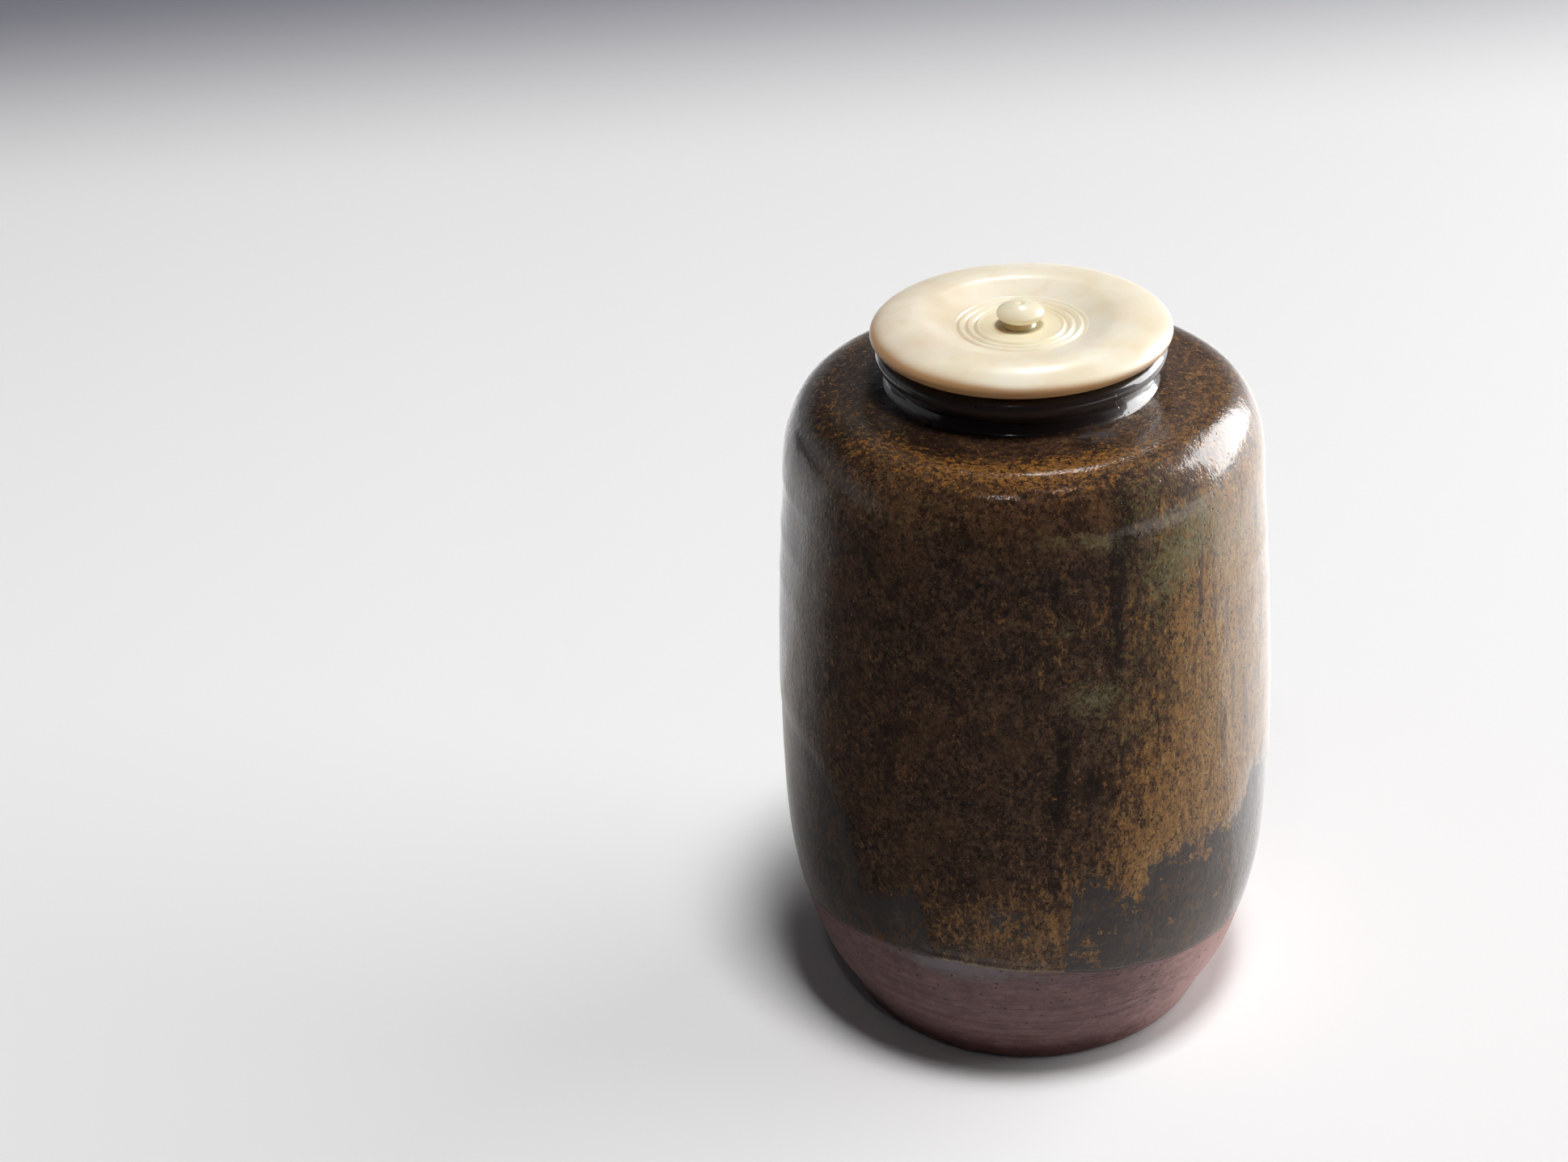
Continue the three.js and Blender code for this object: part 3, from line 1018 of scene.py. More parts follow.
    def shade(self, site: Site) -> Array:
        """Dark places: spots, thin streaks down the run, and a collar that is dense on the left. The
        streaks and the narrow spots are dark runs; the collar is dark glaze by the neck, and its weight on
        the left, away from the light, is painted shade, as are the broad spots on the left.

        Args:
            site: points on the jar.

        Returns:
            The field.
        """
        spots = patches(DARK_RUN_AND_SHADE_SPOTS, site.azimuth, site.height, self.belly_radius)
        streaks = 0.4 * np.clip(site.drift(cells=90, pitch=26.0, seed=61) - 0.25, 0, 1)
        collar = bell(site.past_neck, -self.collar_below_neck, self.collar_width)
        collar = collar * (0.8 + 0.4 * site.drift(cells=30, pitch=3.0, seed=62))
        # Painted shade: the collar weighs most at azimuth -74 degrees, on the left, away from the light
        return spots + streaks + 1.6 * collar * (0.5 + 0.5 * np.cos(site.azimuth + 1.3))

    def fields(self, azimuth: Array, along: Array) -> dict[Field, Array]:
        """Where each touch of the glaze lies.

        Args:
            azimuth: angle round the jar, in radians.
            along: distance along the outline.

        Returns:
            The value of each field at each point.
        """
        azimuth, along = np.broadcast_arrays(azimuth, along)
        radius, height = self.outline.at(along)
        site = Site(azimuth, along, height, along - self.outline.reach(self.neck_foot_height))
        on_wall = site.past_neck < 0
        olive = patches(OLIVE_SPOTS, azimuth, height, self.belly_radius)
        olive = olive + 0.35 * np.clip(site.drift(cells=12, pitch=9.0, seed=51), 0, 1)
        pool = smoothstep(-1.2, 0.5, site.past_neck + 0.7 * site.drift(cells=28, pitch=4.0, seed=41))
        # Pale line at the glaze's edge, partly a painted highlight on its roll
        hem = bell(height, self.glaze_line(azimuth), self.hem_width) * (self.cover(azimuth, along) > -0.2)
        return {
            Field.FLOW: turned(radius, along, azimuth),
            Field.SLATE: self.slate(site),
            Field.OLIVE: olive * on_wall,
            Field.EMBER: self.ember(site),
            Field.POOL: pool,
            Field.SHADE: self.shade(site) * on_wall,
            Field.HEM: hem * on_wall,
            Field.GOLD: self.gold(site),
        }

    def coat(
        self,
        name: str,
        start: Array,
        end: float,
        stations: Array,
        floor: Array,
        thickness: Array,
        every: int,
    ) -> bpy.types.Object:
        """A closed shell of glaze: an outer surface, and an inner one that lies on what it covers.

        Outer points stand floor + thickness off the clay's outline along its normal, inner ones
        floor, and both follow the wall's relief.

        Args:
            name: name of the piece.
            start: arc length of the lower edge in each column.
            end: arc length of the upper edge.
            stations: shares of the way from start to end, for the outer rows.
            floor: distance from the clay's outline to the inner surface, rows by columns.
            thickness: thickness at each outer point, rows by columns.
            every: the inner surface has one row for this many outer rows.

        Returns:
            The new object.
        """
        azimuth = columns(start.shape[1])
        back = np.unique(np.append(np.arange(0, len(stations), every), len(stations) - 1))[::-1]
        along = start + (end - start) * np.concatenate([stations, stations[back]])[:, None]
        out = np.concatenate([floor + thickness, floor[back]])
        radius, height = self.outline.at(along, out + self.relief(azimuth, along))
        return make_piece(name, turned(radius, height, azimuth), self.fields(azimuth, along), ring=True)

    def hollow(self) -> Outline:
        """Outline of the clay inside, from the end of the inner glaze down to the middle of the floor."""
        inside = self.wall_outline(self.wall, self.floor)[::-1]
        ceiling = inside[0, 1]
        mouth = (self.bore, self.lip_top - self.inner_glaze_depth - 0.3)
        throat = (self.bore, ceiling + self.bore_ease)
        return Outline(np.concatenate([
            line(mouth, throat, 8),
            line((self.bore + self.bore_ease, ceiling), tuple(inside[0]), 12),
            inside,
            line(tuple(inside[-1]), (0.6, self.floor), 30),
        ]))

    def string_cut(self, azimuth: Array, radius: Array) -> Array:
        """Spiral groove that the string left under the foot.

        It is depth * (1 - cos(2 pi (distance / pitch - angle / turn))) / 2 round a point a little
        off the middle, where the string was pulled out, and fades at the foot's edge.

        Args:
            azimuth: angle round the jar, in radians.
            radius: radius of each point under the foot.

        Returns:
            How far each point is cut in.
        """
        x = radius * np.sin(azimuth) - self.cut_middle[0]
        y = -radius * np.cos(azimuth) - self.cut_middle[1]
        turn = np.hypot(x, y) / self.cut_pitch - np.arctan2(y, x) / TURN
        edge = self.foot_radius - self.foot_chamfer
        return self.cut_depth / 2 * (1 - np.cos(TURN * turn)) * smoothstep(edge, edge - 1.5, radius)

    def build_clay(self) -> bpy.types.Object:
        """The thrown clay, from the string-cut foot over the lip to the floor inside.

        Returns:
            The new object.
        """
        azimuth = columns(CLAY_COLUMNS)
        edge = self.foot_radius - self.foot_chamfer
        base = stretches([(0.3, 0.25), (edge, 1)])[:, None]
        line_top = float(self.outline.reach(self.line_height + self.line_tilt + self.line_wave + 0.6))
        lip = float(self.outline.reach(self.neck_height))
        outside = stretches(
            [(self.foot_chamfer, 0.25), (line_top, 2.2), (lip, 0.35), (self.outline.length, 1)]
        )[:, None]
        within = self.hollow()
        inner = np.linspace(0, within.length, HOLLOW_ROWS)[:, None]
        under = base + 0 * azimuth
        out_r, out_z = self.outline.at(outside, self.relief(azimuth, outside))
        in_r, in_z = (values + 0 * azimuth for values in within.at(inner))
        radius = np.concatenate([under, out_r, in_r])
        height = np.concatenate([self.string_cut(azimuth, under), out_z, in_z])
        along = np.concatenate([base - edge, outside, inner + self.outline.length])
        flow = turned(radius, np.broadcast_to(along, radius.shape), azimuth)
        below = np.clip(self.glaze_line(azimuth) - height, 0, None)
        outer = (along > 0) & (along < self.outline.length)
        haze = bell(below, 0.0, self.haze_reach) * outer * (0.3 + 0.7 * bell(azimuth, -0.1, 0.4))
        haze = haze * (0.85 + 0.4 * drift(azimuth, along, cells=18, pitch=4.0, seed=71))
        low = 0.9 * (1 - smoothstep(0.5, 7.0, height)) * outer
        # Side that the window lights, where the clay is painted paler and pinker as painted light and sheen
        sunny = smoothstep(0.25, 1.1, azimuth) * (1 - smoothstep(1.9, 2.8, azimuth)) * outer
        fields = {Field.FLOW: flow, Field.HAZE: haze, Field.LOW: low, Field.GOLD: sunny}
        return make_piece("thrown_clay", turned(radius, height, azimuth), fields, poles=True)

    def build_iron_coat(self) -> bpy.types.Object:
        """The dark coat, which rolls over to nothing at both ends.

        Returns:
            The new object.
        """
        azimuth = columns(COAT_COLUMNS)
        start = self.outline.reach(self.glaze_line(azimuth))
        end = self.outline.length
        nominal = float(start.mean())
        fine = nominal + self.fine_rows_reach
        stations = stretches([(nominal, 0.45), (fine, 2.0), (self.neck_rows_start, 0.35), (end, 1)])
        share = (stations - nominal) / (end - nominal)
        along = start + (end - start) * share[:, None]
        roll = rolled((along - start) / self.lower_roll) * rolled((end - along) / self.upper_roll)
        floor = np.full(along.shape, self.coat_gap)
        thickness = self.iron_depth(azimuth, along) * roll
        return self.coat("iron_glaze_coat", start, end, share, floor, thickness, every=6)

    def build_amber_run(self) -> bpy.types.Object:
        """The amber coat: it thins out and sinks into the iron glaze where the run ends.

        Its thickness follows the cover, averaged over neighbouring azimuths so that the steep sides
        of the lobes stay soft.

        Returns:
            The new object.
        """
        azimuth = columns(COAT_COLUMNS)
        start = self.outline.reach(self.glaze_line(azimuth)) + 0.6
        end = float(self.outline.reach(self.neck_foot_height)) - 0.4
        share = np.linspace(0, 1, AMBER_ROWS)
        along = start + (end - start) * share[:, None]
        beside = [self.cover(azimuth + math.radians(step), along) for step in (-3, -1.5, 0, 1.5, 3)]
        thin = np.mean([smoothstep(-0.3, 0.9, near) for near in beside], axis=0)
        thin = 0.1 + 0.9 * thin * smoothstep(0, 1.5, along - start) * smoothstep(0, 8.0, end - along)
        under = self.coat_gap + self.iron_depth(azimuth, along) - self.feather
        thickness = (self.over_coat + self.feather) * thin
        return self.coat("amber_glaze_run", start, end, share, under, thickness, every=8)

    def build(self) -> None:
        """Builds the three pieces, dresses them and puts them on the jar's body."""
        dress(self.build_clay(), "jar", "clay_body", BARE_STONEWARE)
        dress(self.build_iron_coat(), "jar", "base_glaze", IRON_GLAZE)
        dress(self.build_amber_run(), "jar", "amber_overglaze", AMBER_GLAZE)


# Islands of amber in the slate (positive) and windows of slate in the amber (negative)
AMBER_SPOTS = (
    Spot(14.6, 21.5, 2.4, 4.4, 1.2), Spot(41.0, 31.6, 1.6, 1.0, 1.0), Spot(46.0, 30.8, 1.5, 0.8, 0.9),
    Spot(50.6, 23.5, 1.0, 2.0, 0.8), Spot(35.0, 24.0, 0.8, 1.4, 0.8), Spot(28.0, 19.6, 1.2, 0.8, 0.9),
    Spot(35.5, 18.6, 1.2, 0.7, 0.8), Spot(21.0, 24.6, 0.7, 1.6, 0.7), Spot(-36.0, 22.5, 1.2, 0.9, 0.5),
    Spot(-15.0, 21.5, 2.2, 0.9, -0.6), Spot(-5.0, 27.5, 2.8, 3.4, -1.08),
)
# Olive and grey-blue clouds where the amber lies thick
OLIVE_SPOTS = (
    Spot(38.0, 74.0, 6.5, 3.4, 0.9), Spot(33.0, 69.5, 4.0, 2.6, 0.5), Spot(45.0, 77.0, 5.0, 2.4, 0.6),
    Spot(9.0, 77.6, 4.5, 0.9, 0.6), Spot(18.0, 76.6, 2.4, 1.1, 0.7), Spot(9.0, 66.6, 3.8, 0.9, 0.5),
    Spot(15.0, 57.8, 3.4, 2.4, 0.75), Spot(30.0, 80.5, 5.0, 2.6, 0.5), Spot(56.0, 70.0, 4.0, 8.0, 0.35),
    Spot(-60.0, 75.0, 6.0, 3.0, 0.4),
    Spot(-130.0, 68.0, 7.0, 5.0, 0.8), Spot(150.0, 60.0, 5.0, 4.0, 0.7), Spot(100.0, 72.0, 8.0, 4.0, 0.6),
)
# Dark runs (the narrow spots) and darker places; the broad spots on the left, at azimuths -76, -60 and -30,
# are painted shade on the side away from the light
DARK_RUN_AND_SHADE_SPOTS = (
    Spot(24.0, 79.0, 1.3, 6.0, 1.1), Spot(21.2, 70.0, 0.9, 8.0, 1.2), Spot(8.6, 51.0, 0.9, 5.0, 1.4),
    Spot(7.0, 43.5, 1.2, 3.0, 1.3), Spot(15.2, 46.5, 1.2, 3.0, 1.3), Spot(31.0, 52.0, 1.4, 4.0, 0.5),
    Spot(-5.5, 28.5, 2.6, 3.2, 0.5), Spot(-8.0, 77.5, 8.0, 2.2, 0.6), Spot(-30.0, 64.0, 12.0, 8.0, 0.3),
    Spot(-76.0, 82.5, 15.0, 4.5, 1.6), Spot(2.0, 71.0, 9.0, 4.5, 0.7), Spot(-4.0, 62.0, 9.0, 3.5, 0.5),
    Spot(22.0, 62.5, 4.5, 2.5, 0.5), Spot(120.0, 50.0, 1.4, 12.0, 0.7), Spot(-110.0, 58.0, 1.4, 10.0, 0.7),
    Spot(-60.0, 40.0, 6.0, 9.0, 0.3), Spot(175.0, 44.0, 1.6, 9.0, 0.7),
)


# The lid


# Painted shadow and staining on the dish under the knob's ball, at its left front; the height of a spot is
# its distance from the axis
FOOT_STAIN_AND_SHADOW_SPOTS = (Spot(-52.0, 2.6, 1.4, 0.8, 1.0),)


@dataclass
class Lid:
    """The turned lid, its knob and the gold-leafed paper under it."""

    underside: float = 89.2
    radius: float = 17.57
    rim_height: float = 1.4
    rim_width: float = 2.6
    crest_inset: float = 5.0
    crest_height: float = 3.18
    dish_radius: float = 7.9
    dish_height: float = 1.9
    dish_floor: float = 1.6
    ring_pitch: float = 1.0
    ring_depth: float = 0.26
    ring_count: int = 3
    ring_width: float = 0.17
    ridge_height: float = 0.12
    ridge_offset: float = 0.38
    ridge_width: float = 0.2
    boss_radius: float = 11.96
    boss_depth: float = 2.0
    boss_chamfer: float = 0.4
    hole_radius: float = 1.05
    dish_slope: tuple[tuple[float, float], ...] = ((0.32, 0.12), (0.68, 0.55))

    knob_foot: float = 1.85
    knob_foot_thickness: float = 0.25
    knob_waist: float = 1.45
    knob_waist_height: float = 0.75
    knob_radius: float = 2.79
    knob_half_height: float = 1.19
    knob_centre: float = 1.76
    dimple_radius: float = 0.55
    dimple_depth: float = 0.14
    tenon_radius: float = 1.0
    tenon_length: float = 1.9
    fit_gap: float = 0.05

    lining_thickness: float = 0.2
    lining_margin: float = 0.6
    wrinkle_height: float = 0.03

    def disc_profile(self) -> Array:
        """Section of the disc, from the middle of its underside over the rim to its hole.

        Each ring of the dish is a groove, depth * bell(radius, ring, width), with a ridge on its
        inner side, height * bell(radius, ring - offset, width).

        Returns:
            (radius, height above the underside) rows.
        """
        crest = (self.radius - self.crest_inset, self.crest_height)
        dish_edge = (self.dish_radius, self.dish_height)
        dish = line(dish_edge, (self.hole_radius, self.dish_floor), 130)
        for i in range(self.ring_count):
            ring = self.dish_radius - (i + 0.5) * self.ring_pitch
            dish[:, 1] -= self.ring_depth * bell(dish[:, 0], ring, self.ring_width)
            dish[:, 1] += self.ridge_height * bell(dish[:, 0], ring - self.ridge_offset, self.ridge_width)
        boss, chamfer = self.boss_radius, self.boss_chamfer
        rim = self.radius - self.rim_width
        hole_bottom = self.dish_floor - self.tenon_length - self.fit_gap
        return np.concatenate([
            line((0.5, -self.boss_depth), (boss - chamfer, -self.boss_depth), 14),
            arc((boss - chamfer, chamfer - self.boss_depth), chamfer, chamfer, -80, 0, 6),
            line((boss, -0.3), (boss, 0), 3),
            line((boss + 0.05, 0), (rim - 0.3, 0), 8),
            arc((rim, self.rim_height), self.rim_width, self.rim_height, -90, 0, 24),
            arc((crest[0], self.rim_height), self.crest_inset, crest[1] - self.rim_height, 2, 90, 44),
            spline([crest, *between(crest, dish_edge, self.dish_slope), dish_edge], 40)[1:],
            dish[1:],
            line((self.hole_radius, self.dish_floor - 0.1), (self.hole_radius, hole_bottom), 4),
            line((self.hole_radius - 0.1, hole_bottom), (0.3, hole_bottom), 3),
        ])

    def build_disc(self) -> bpy.types.Object:
        """The disc, with painted shade and warm bounced light low round its rim and on the left, painted
        shadow and staining under the knob's ball, and a yellower dish.

        Returns:
            The new object.
        """
        azimuth = columns(DISC_COLUMNS)
        profile = self.disc_profile()
        radius, height = profile[:, :1], profile[:, 1:]
        grid = turned(radius, height + self.underside, azimuth)
        edge = 1 - smoothstep(0.75, 2.8, height)
        side = smoothstep(self.radius - 4.5, self.radius - 1.5, radius)
        shaded_front_left = 0.6 + 0.4 * np.cos(azimuth + 0.7)
        # Painted shade and warm light bounced from the glaze, low on the rim and strongest at the front
        # left, and painted shade over the left half
        stain = 1.9 * edge * side * shaded_front_left + 0.42 * smoothstep(0.1, -1.0, np.sin(azimuth))
        # Painted shadow of the knob's ball on the dish, with staining at its foot
        foot_stain_and_shadow = patches(FOOT_STAIN_AND_SHADOW_SPOTS, azimuth, radius, 2.4) * (height > 1.0)
        old = smoothstep(self.dish_radius + 0.4, 3.0, radius) * smoothstep(1.0, 1.3, height)
        fields = {Field.FLOW: grid, Field.STAIN: stain + foot_stain_and_shadow, Field.GOLD: old + 0 * azimuth}
        return make_piece("lid_disc_turned", grid, fields, poles=True)

    def knob_profile(self) -> Array:
        """Section of the knob: tenon, foot, waist, flattened ball and dimple.

        Returns:
            (radius, height above the dish's floor) rows.
        """
        ball = arc((0.0, self.knob_centre), self.knob_radius, self.knob_half_height, -50, 78, 50)
        dimple_r = np.linspace(self.dimple_radius, 0.04, 10)
        hollow = self.dimple_depth * (1 - (dimple_r / self.dimple_radius) ** 2)
        dimple_z = self.knob_centre + self.knob_half_height - hollow - 0.03
        tenon, foot = self.tenon_radius, self.knob_foot
        waist = spline([
            (foot, self.fit_gap + 0.02),
            (foot, self.fit_gap + self.knob_foot_thickness),
            (self.knob_waist, self.knob_waist_height),
            tuple(ball[0]),
        ], 24)
        return np.concatenate([
            line((0.2, -self.tenon_length), (tenon, -self.tenon_length), 4),
            line((tenon, 0.02 - self.tenon_length), (tenon, self.fit_gap), 6),
            line((tenon + 0.05, self.fit_gap), (foot, self.fit_gap), 4),
            waist[1:-1],
            ball,
            np.stack([dimple_r, dimple_z], axis=1),
        ])

    def build_knob(self) -> bpy.types.Object:
        """The knob, on its tenon, with amber at its foot, partly staining in the joint and partly painted
        shade under the ball on the side away from the light, and darker amber in the dimple.

        Returns:
            The new object.
        """
        azimuth = columns(KNOB_COLUMNS)
        profile = self.knob_profile()
        radius, height = profile[:, :1], profile[:, 1:]
        grid = turned(radius, height + self.underside + self.dish_floor, azimuth)
        # Painted shade: the foot is darkest at the left front, away from the light
        around = 0.25 + 0.75 * smoothstep(-0.2, 0.9, np.cos(azimuth + math.radians(35)))
        foot = (1 - smoothstep(0.4, 1.15, height)) * around
        heart = 0.35 * (radius < self.dimple_radius) * (height > self.knob_centre)
        fields = {Field.FLOW: grid, Field.STAIN: foot + heart}
        return make_piece("lid_knob_turned", grid, fields, poles=True)

    def build_lining(self) -> bpy.types.Object:
        """The gold-leafed paper: a thin disc with wrinkles on its face.

        Returns:
            The new object.
        """
        azimuth = columns(LINING_COLUMNS)
        edge = self.boss_radius - self.boss_chamfer - self.lining_margin
        top = -self.boss_depth - self.fit_gap
        low = top - self.lining_thickness
        face = line((0.4, low), (edge - 0.02, low), FACE_ROWS)
        profile = np.concatenate([face, line((edge, top - 0.02), (0.4, top), 6)])
        grid = turned(profile[:, :1], profile[:, 1:] + self.underside, azimuth)
        wrinkle = self.wrinkle_height / 2 * (1 + drift(azimuth, face[:, :1], cells=26, pitch=1.4, seed=81))
        grid[:FACE_ROWS, :, 2] += wrinkle * smoothstep(edge, edge - 1.0, face[:, :1])
        return make_piece("gold_leafed_paper", grid, {Field.FLOW: grid}, poles=True)

    def build(self) -> None:
        """Builds the three pieces, dresses them and puts them on the lid's body."""
        dress(self.build_disc(), "lid", "lid_disc", IVORY_LID)
        dress(self.build_knob(), "lid", "lid_knob", IVORY_KNOB)
        dress(self.build_lining(), "lid", "gold_leaf_lining", GOLD_LEAF)


def dress(piece: bpy.types.Object, body: str, node: str, finish: Finish) -> None:
    """Gives a piece its finish and its place in the frame.

    Args:
        piece: the piece.
        body: the body that it rides on.
        node: the node that it stands for.
        finish: its finish.
    """
    piece.data.materials.append(finish.build())
    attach(piece, body)
    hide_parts(node)
    log.info("%s: %d faces, %s", piece.name, len(piece.data.polygons), finish.name)


# The studio


class LampTask(Enum):
    """What a lamp does: light surfaces, be mirrored by them, or both."""

    LIGHT = "light"
    MIRRORED = "mirrored"
    BOTH = "both"


@dataclass(frozen=True)
class Lamp:
    """A soft lamp: where it stands as seen from the jar, its size in metres and its radiance."""

    name: str
    azimuth: float
    elevation: float
    distance: float
    wide: float
    tall: float
    radiance: float
    colour: str = "#ffffff"
    task: LampTask = LampTask.BOTH

    def build(self, target: Vector) -> None:
        """Hangs the lamp and turns it to the target; power = radiance * pi * area.

        Args:
            target: the point that it faces.
        """
        data = bpy.data.lights.new(self.name, "AREA")
        data.shape = "RECTANGLE"
        data.size, data.size_y = self.wide, self.tall
        data.energy = self.radiance * math.pi * self.wide * self.tall
        data.color = linear(self.colour)[:3]
        lamp = bpy.data.objects.new(self.name, data)
        turn, rise = math.radians(self.azimuth), math.radians(self.elevation)
        away = Vector((math.sin(turn) * math.cos(rise), -math.cos(turn) * math.cos(rise), math.sin(rise)))
        lamp.location = target + away * self.distance
        lamp.rotation_mode = "QUATERNION"
        lamp.rotation_quaternion = away.to_track_quat("Z", "Y")
        lamp.visible_camera = False
        lamp.visible_glossy = self.task is not LampTask.LIGHT
        lamp.visible_diffuse = self.task is not LampTask.MIRRORED
        bpy.context.scene.collection.objects.link(lamp)


def make_sheet(
    name: str, corners: tuple[tuple[float, float], ...], height: float, finish: str
) -> tuple[bpy.types.Object, bpy.types.NodeTree]:
    """Makes a flat sheet that lies level, with a blank material.

    Args:
        name: name of the sheet.
        corners: (x, y) of its corners in metres, in order.
        height: its height in metres.
        finish: name of its material.

    Returns:
        The sheet and the node tree of its material.
    """
    mesh = bpy.data.meshes.new(name)
    mesh.from_pydata([(x, y, height) for x, y in corners], [], [tuple(range(len(corners)))])
    material = bpy.data.materials.new(finish)
    mesh.materials.append(material)
    sheet = bpy.data.objects.new(name, mesh)
    bpy.context.scene.collection.objects.link(sheet)
    return sheet, blank_tree(material)


def coordinates(tree: bpy.types.NodeTree, kind: str) -> list[Socket]:
    """Adds the nodes that give x, y and z of the Object or Generated coordinates."""
    place = add_node(tree, "ShaderNodeTexCoord").outputs[kind]
    return list(add_node(tree, "ShaderNodeSeparateXYZ", {0: place}).outputs)


def direct_ray(tree: bpy.types.NodeTree) -> Socket:
    """Adds the nodes that give 1 for camera, mirror and transmission rays, and 0 for soft bounces.

    Args:
        tree: the node tree.

    Returns:
        The socket that holds the value.
    """
    path = add_node(tree, "ShaderNodeLightPath").outputs
    sharp = maths(tree, "MAXIMUM", path["Is Camera Ray"], path["Is Glossy Ray"])
    return maths(tree, "MAXIMUM", sharp, path["Is Transmission Ray"])


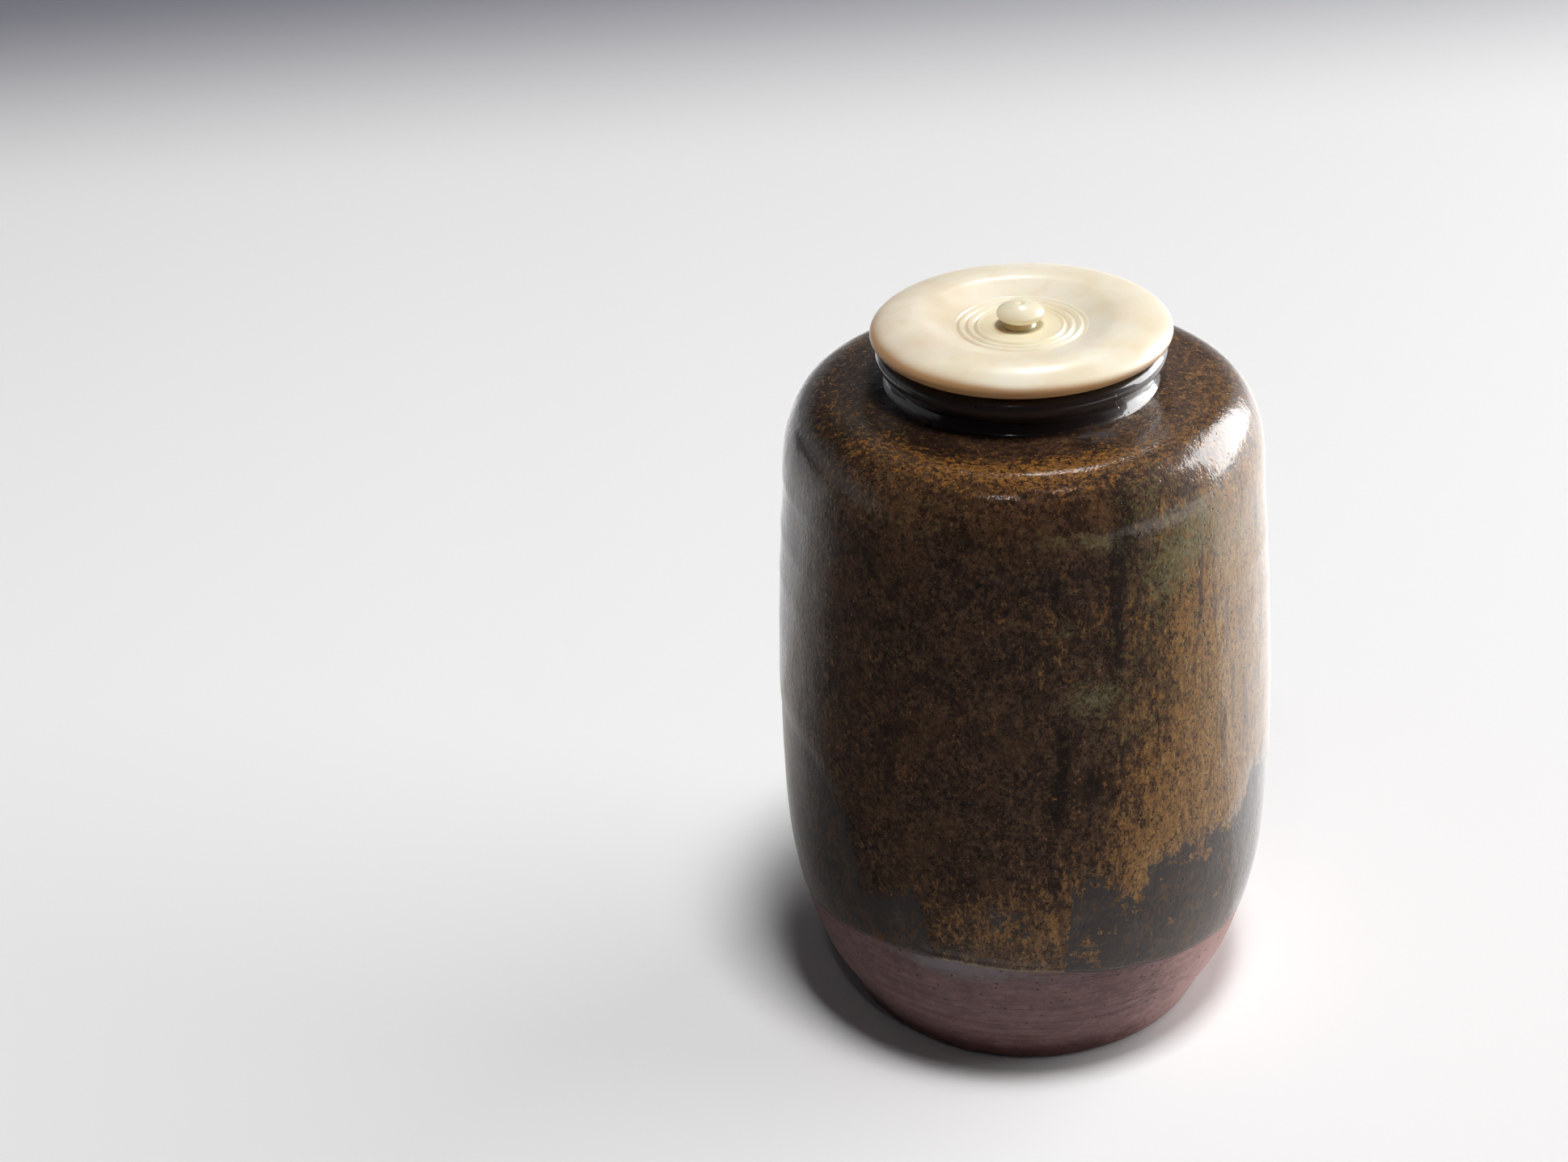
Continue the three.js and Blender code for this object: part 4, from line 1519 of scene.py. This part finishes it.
@dataclass
class Studio:
    """The floor, the lamps, the surroundings and the camera, in metres.

    Each pair that ends in "from_to" holds the places between which one value eases to another.
    """

    floor_size: float = 8.0
    floor_colour: str = "#f0f0f0"
    # Painted light: the floor is whiter at the left, where the lamps' light falls off
    left_colour: str = "#fefefe"
    left_from_to: tuple[float, float] = (-0.3, 0.15)
    bounce: tuple[float, float] = (0.58, 1.0)
    bounce_from_to: tuple[float, float] = (-0.08, 0.08)
    glow: float = 0.8
    glow_from_to: tuple[float, float] = (0.01, 0.13)
    far_colour: str = "#8e8e99"
    far_slant: float = -0.12
    far_from_to: tuple[float, float] = (0.30, 0.50)
    horizon_colour: str = "#a4a5a8"
    zenith_colour: str = "#1c1c1f"
    sky_from_to: tuple[float, float] = (0.12, 0.42)
    front_from_to: tuple[float, float] = (-0.1, -0.7)
    front_rise: float = 0.5
    soft_share: float = 0.5
    target: tuple[float, float, float] = (0.0, 0.0, 0.055)
    lamps: tuple[Lamp, ...] = (
        Lamp("overhead", 38, 79.5, 1.3, 0.26, 0.26, 59.5, task=LampTask.LIGHT),
        Lamp("window", 110, 20, 0.9, 1.0, 0.6, 3.7, task=LampTask.LIGHT),
        Lamp("window_pane", 119, 20, 0.9, 0.72, 0.7, 11.0, task=LampTask.MIRRORED),
        Lamp("strip", 176, 50, 0.7, 0.06, 0.13, 34.0, task=LampTask.MIRRORED),
        Lamp("near_spot", -13, 60, 0.8, 0.03, 0.02, 80.0),
        Lamp("far_spot", 43, 72, 0.8, 0.03, 0.02, 60.0, "#ffd9c8"),
        Lamp("left_fill", -110, 22, 0.9, 0.5, 0.35, 0.15),
    )
    card_outline: tuple[tuple[float, float], ...] = (
        (-3.9, -3.9), (2.0, -3.9), (0.3, -0.6), (0.3, 0.0), (-0.02, 0.0), (-0.02, 0.06), (-3.9, 0.06),
    )
    card_colour: str = "#303030"
    card_edge_colour: str = "#d8d4d0"
    card_edge: tuple[float, float] = (0.06, 0.0)
    card_edge_from_to: tuple[float, float] = (-0.05, -0.01)
    card_fade: float = 0.075
    camera_place: tuple[float, float, float] = (0.0, -0.26084, 0.20949)
    camera_look: tuple[float, float, float] = (-0.09700, 0.85879, -0.50306)
    camera_up: tuple[float, float, float] = (0.00650, 0.50598, 0.86252)
    lens: float = 56.10
    sensor: float = 36.0

    def build_floor(self) -> None:
        """A pale floor, painted whiter at the left where the lamps' light falls off, and darker and bluer
        far behind the jar.

        Soft bounces see it as a grey that is lower at the left (bounce), and mirror rays alone see
        it glow at the right and behind.
        """
        half = self.floor_size / 2
        corners = ((-half, -half), (half, -half), (half, half), (-half, half))
        floor, tree = make_sheet("studio_floor", corners, 0.0, "matt white paper")
        x, y, _ = coordinates(tree, "Object")
        far = eased(tree, maths(tree, "MULTIPLY_ADD", x, self.far_slant, y), *self.far_from_to)
        right = eased(tree, x, *self.left_from_to)
        near_colour = blend(tree, right, linear(self.left_colour), linear(self.floor_colour))
        colour = blend(tree, far, near_colour, linear(self.far_colour))
        bounce = eased(tree, x, *self.bounce_from_to, *self.bounce)
        glow = eased(tree, maths(tree, "ADD", x, y), *self.glow_from_to, 0.0, self.glow)
        mirrored = add_node(tree, "ShaderNodeLightPath").outputs["Is Glossy Ray"]
        add_surface(tree, {
            "Base Color": blend(tree, direct_ray(tree), bounce, colour),
            "Roughness": 0.9,
            "Specular IOR Level": 0.1,
            "Emission Color": (1.0, 1.0, 1.0, 1.0),
            "Emission Strength": maths(tree, "MULTIPLY", mirrored, glow),
        })

    def build_card(self) -> None:
        """A dark card on the floor before and beside the jar, which only mirror reflections see.

        It pales towards its back edge, so that its reflection has no hard border.
        """
        card, tree = make_sheet("dark_card", self.card_outline, MM, "matt dark card")
        card.visible_camera = card.visible_diffuse = card.visible_shadow = card.visible_transmission = False
        x, y, _ = coordinates(tree, "Object")
        inside = maths(tree, "SUBTRACT", y, eased(tree, x, *self.card_edge_from_to, *self.card_edge))
        pale = eased(tree, inside, -self.card_fade, 0.0)
        colour = blend(tree, pale, linear(self.card_colour), linear(self.card_edge_colour))
        add_surface(tree, {"Base Color": colour, "Roughness": 0.9})

    def build_world(self) -> None:
        """Surroundings by the ray's way: pale at the horizon, dark overhead and lower in front.

        Soft bounces see a share of them.
        """
        world = bpy.data.worlds.new("studio")
        tree = blank_tree(world)
        _, y, z = coordinates(tree, "Generated")
        raised = maths(tree, "ADD", z, eased(tree, y, *self.front_from_to, 0.0, self.front_rise))
        share = eased(tree, raised, *self.sky_from_to)
        colour = blend(tree, share, linear(self.horizon_colour), linear(self.zenith_colour))
        inputs = {"Value": direct_ray(tree), "To Min": self.soft_share, "To Max": 1.0}
        strength = add_node(tree, "ShaderNodeMapRange", inputs).outputs[0]
        light = add_node(tree, "ShaderNodeBackground", {"Color": colour, "Strength": strength})
        add_node(tree, "ShaderNodeOutputWorld", {"Surface": light.outputs[0]})
        bpy.context.scene.world = world

    def build_camera(self) -> None:
        """The camera: its axes are look x up, up and -look."""
        data = bpy.data.cameras.new("camera")
        data.lens, data.sensor_width, data.sensor_fit = self.lens, self.sensor, "HORIZONTAL"
        data.clip_start = 0.01
        camera = bpy.data.objects.new("camera", data)
        look, up = Vector(self.camera_look).normalized(), Vector(self.camera_up)
        right = look.cross(up).normalized()
        up = right.cross(look)
        rows = [[right[i], up[i], -look[i], self.camera_place[i]] for i in range(3)]
        camera.matrix_world = Matrix([*rows, [0, 0, 0, 1]])
        bpy.context.scene.collection.objects.link(camera)
        bpy.context.scene.camera = camera

    def build(self) -> None:
        """Builds the whole studio."""
        self.build_floor()
        self.build_card()
        self.build_world()
        for lamp in self.lamps:
            lamp.build(Vector(self.target))
        self.build_camera()
        bpy.context.scene.view_settings.view_transform = "Standard"
        log.info("studio: %d lamps", len(self.lamps))


def main() -> None:
    """Loads the frame and builds the jar, the lid and the studio."""
    logging.basicConfig(level=logging.INFO, format="%(name)s: %(message)s")
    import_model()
    Jar().build()
    Lid().build()
    Studio().build()


if __name__ == "__main__":
    main()
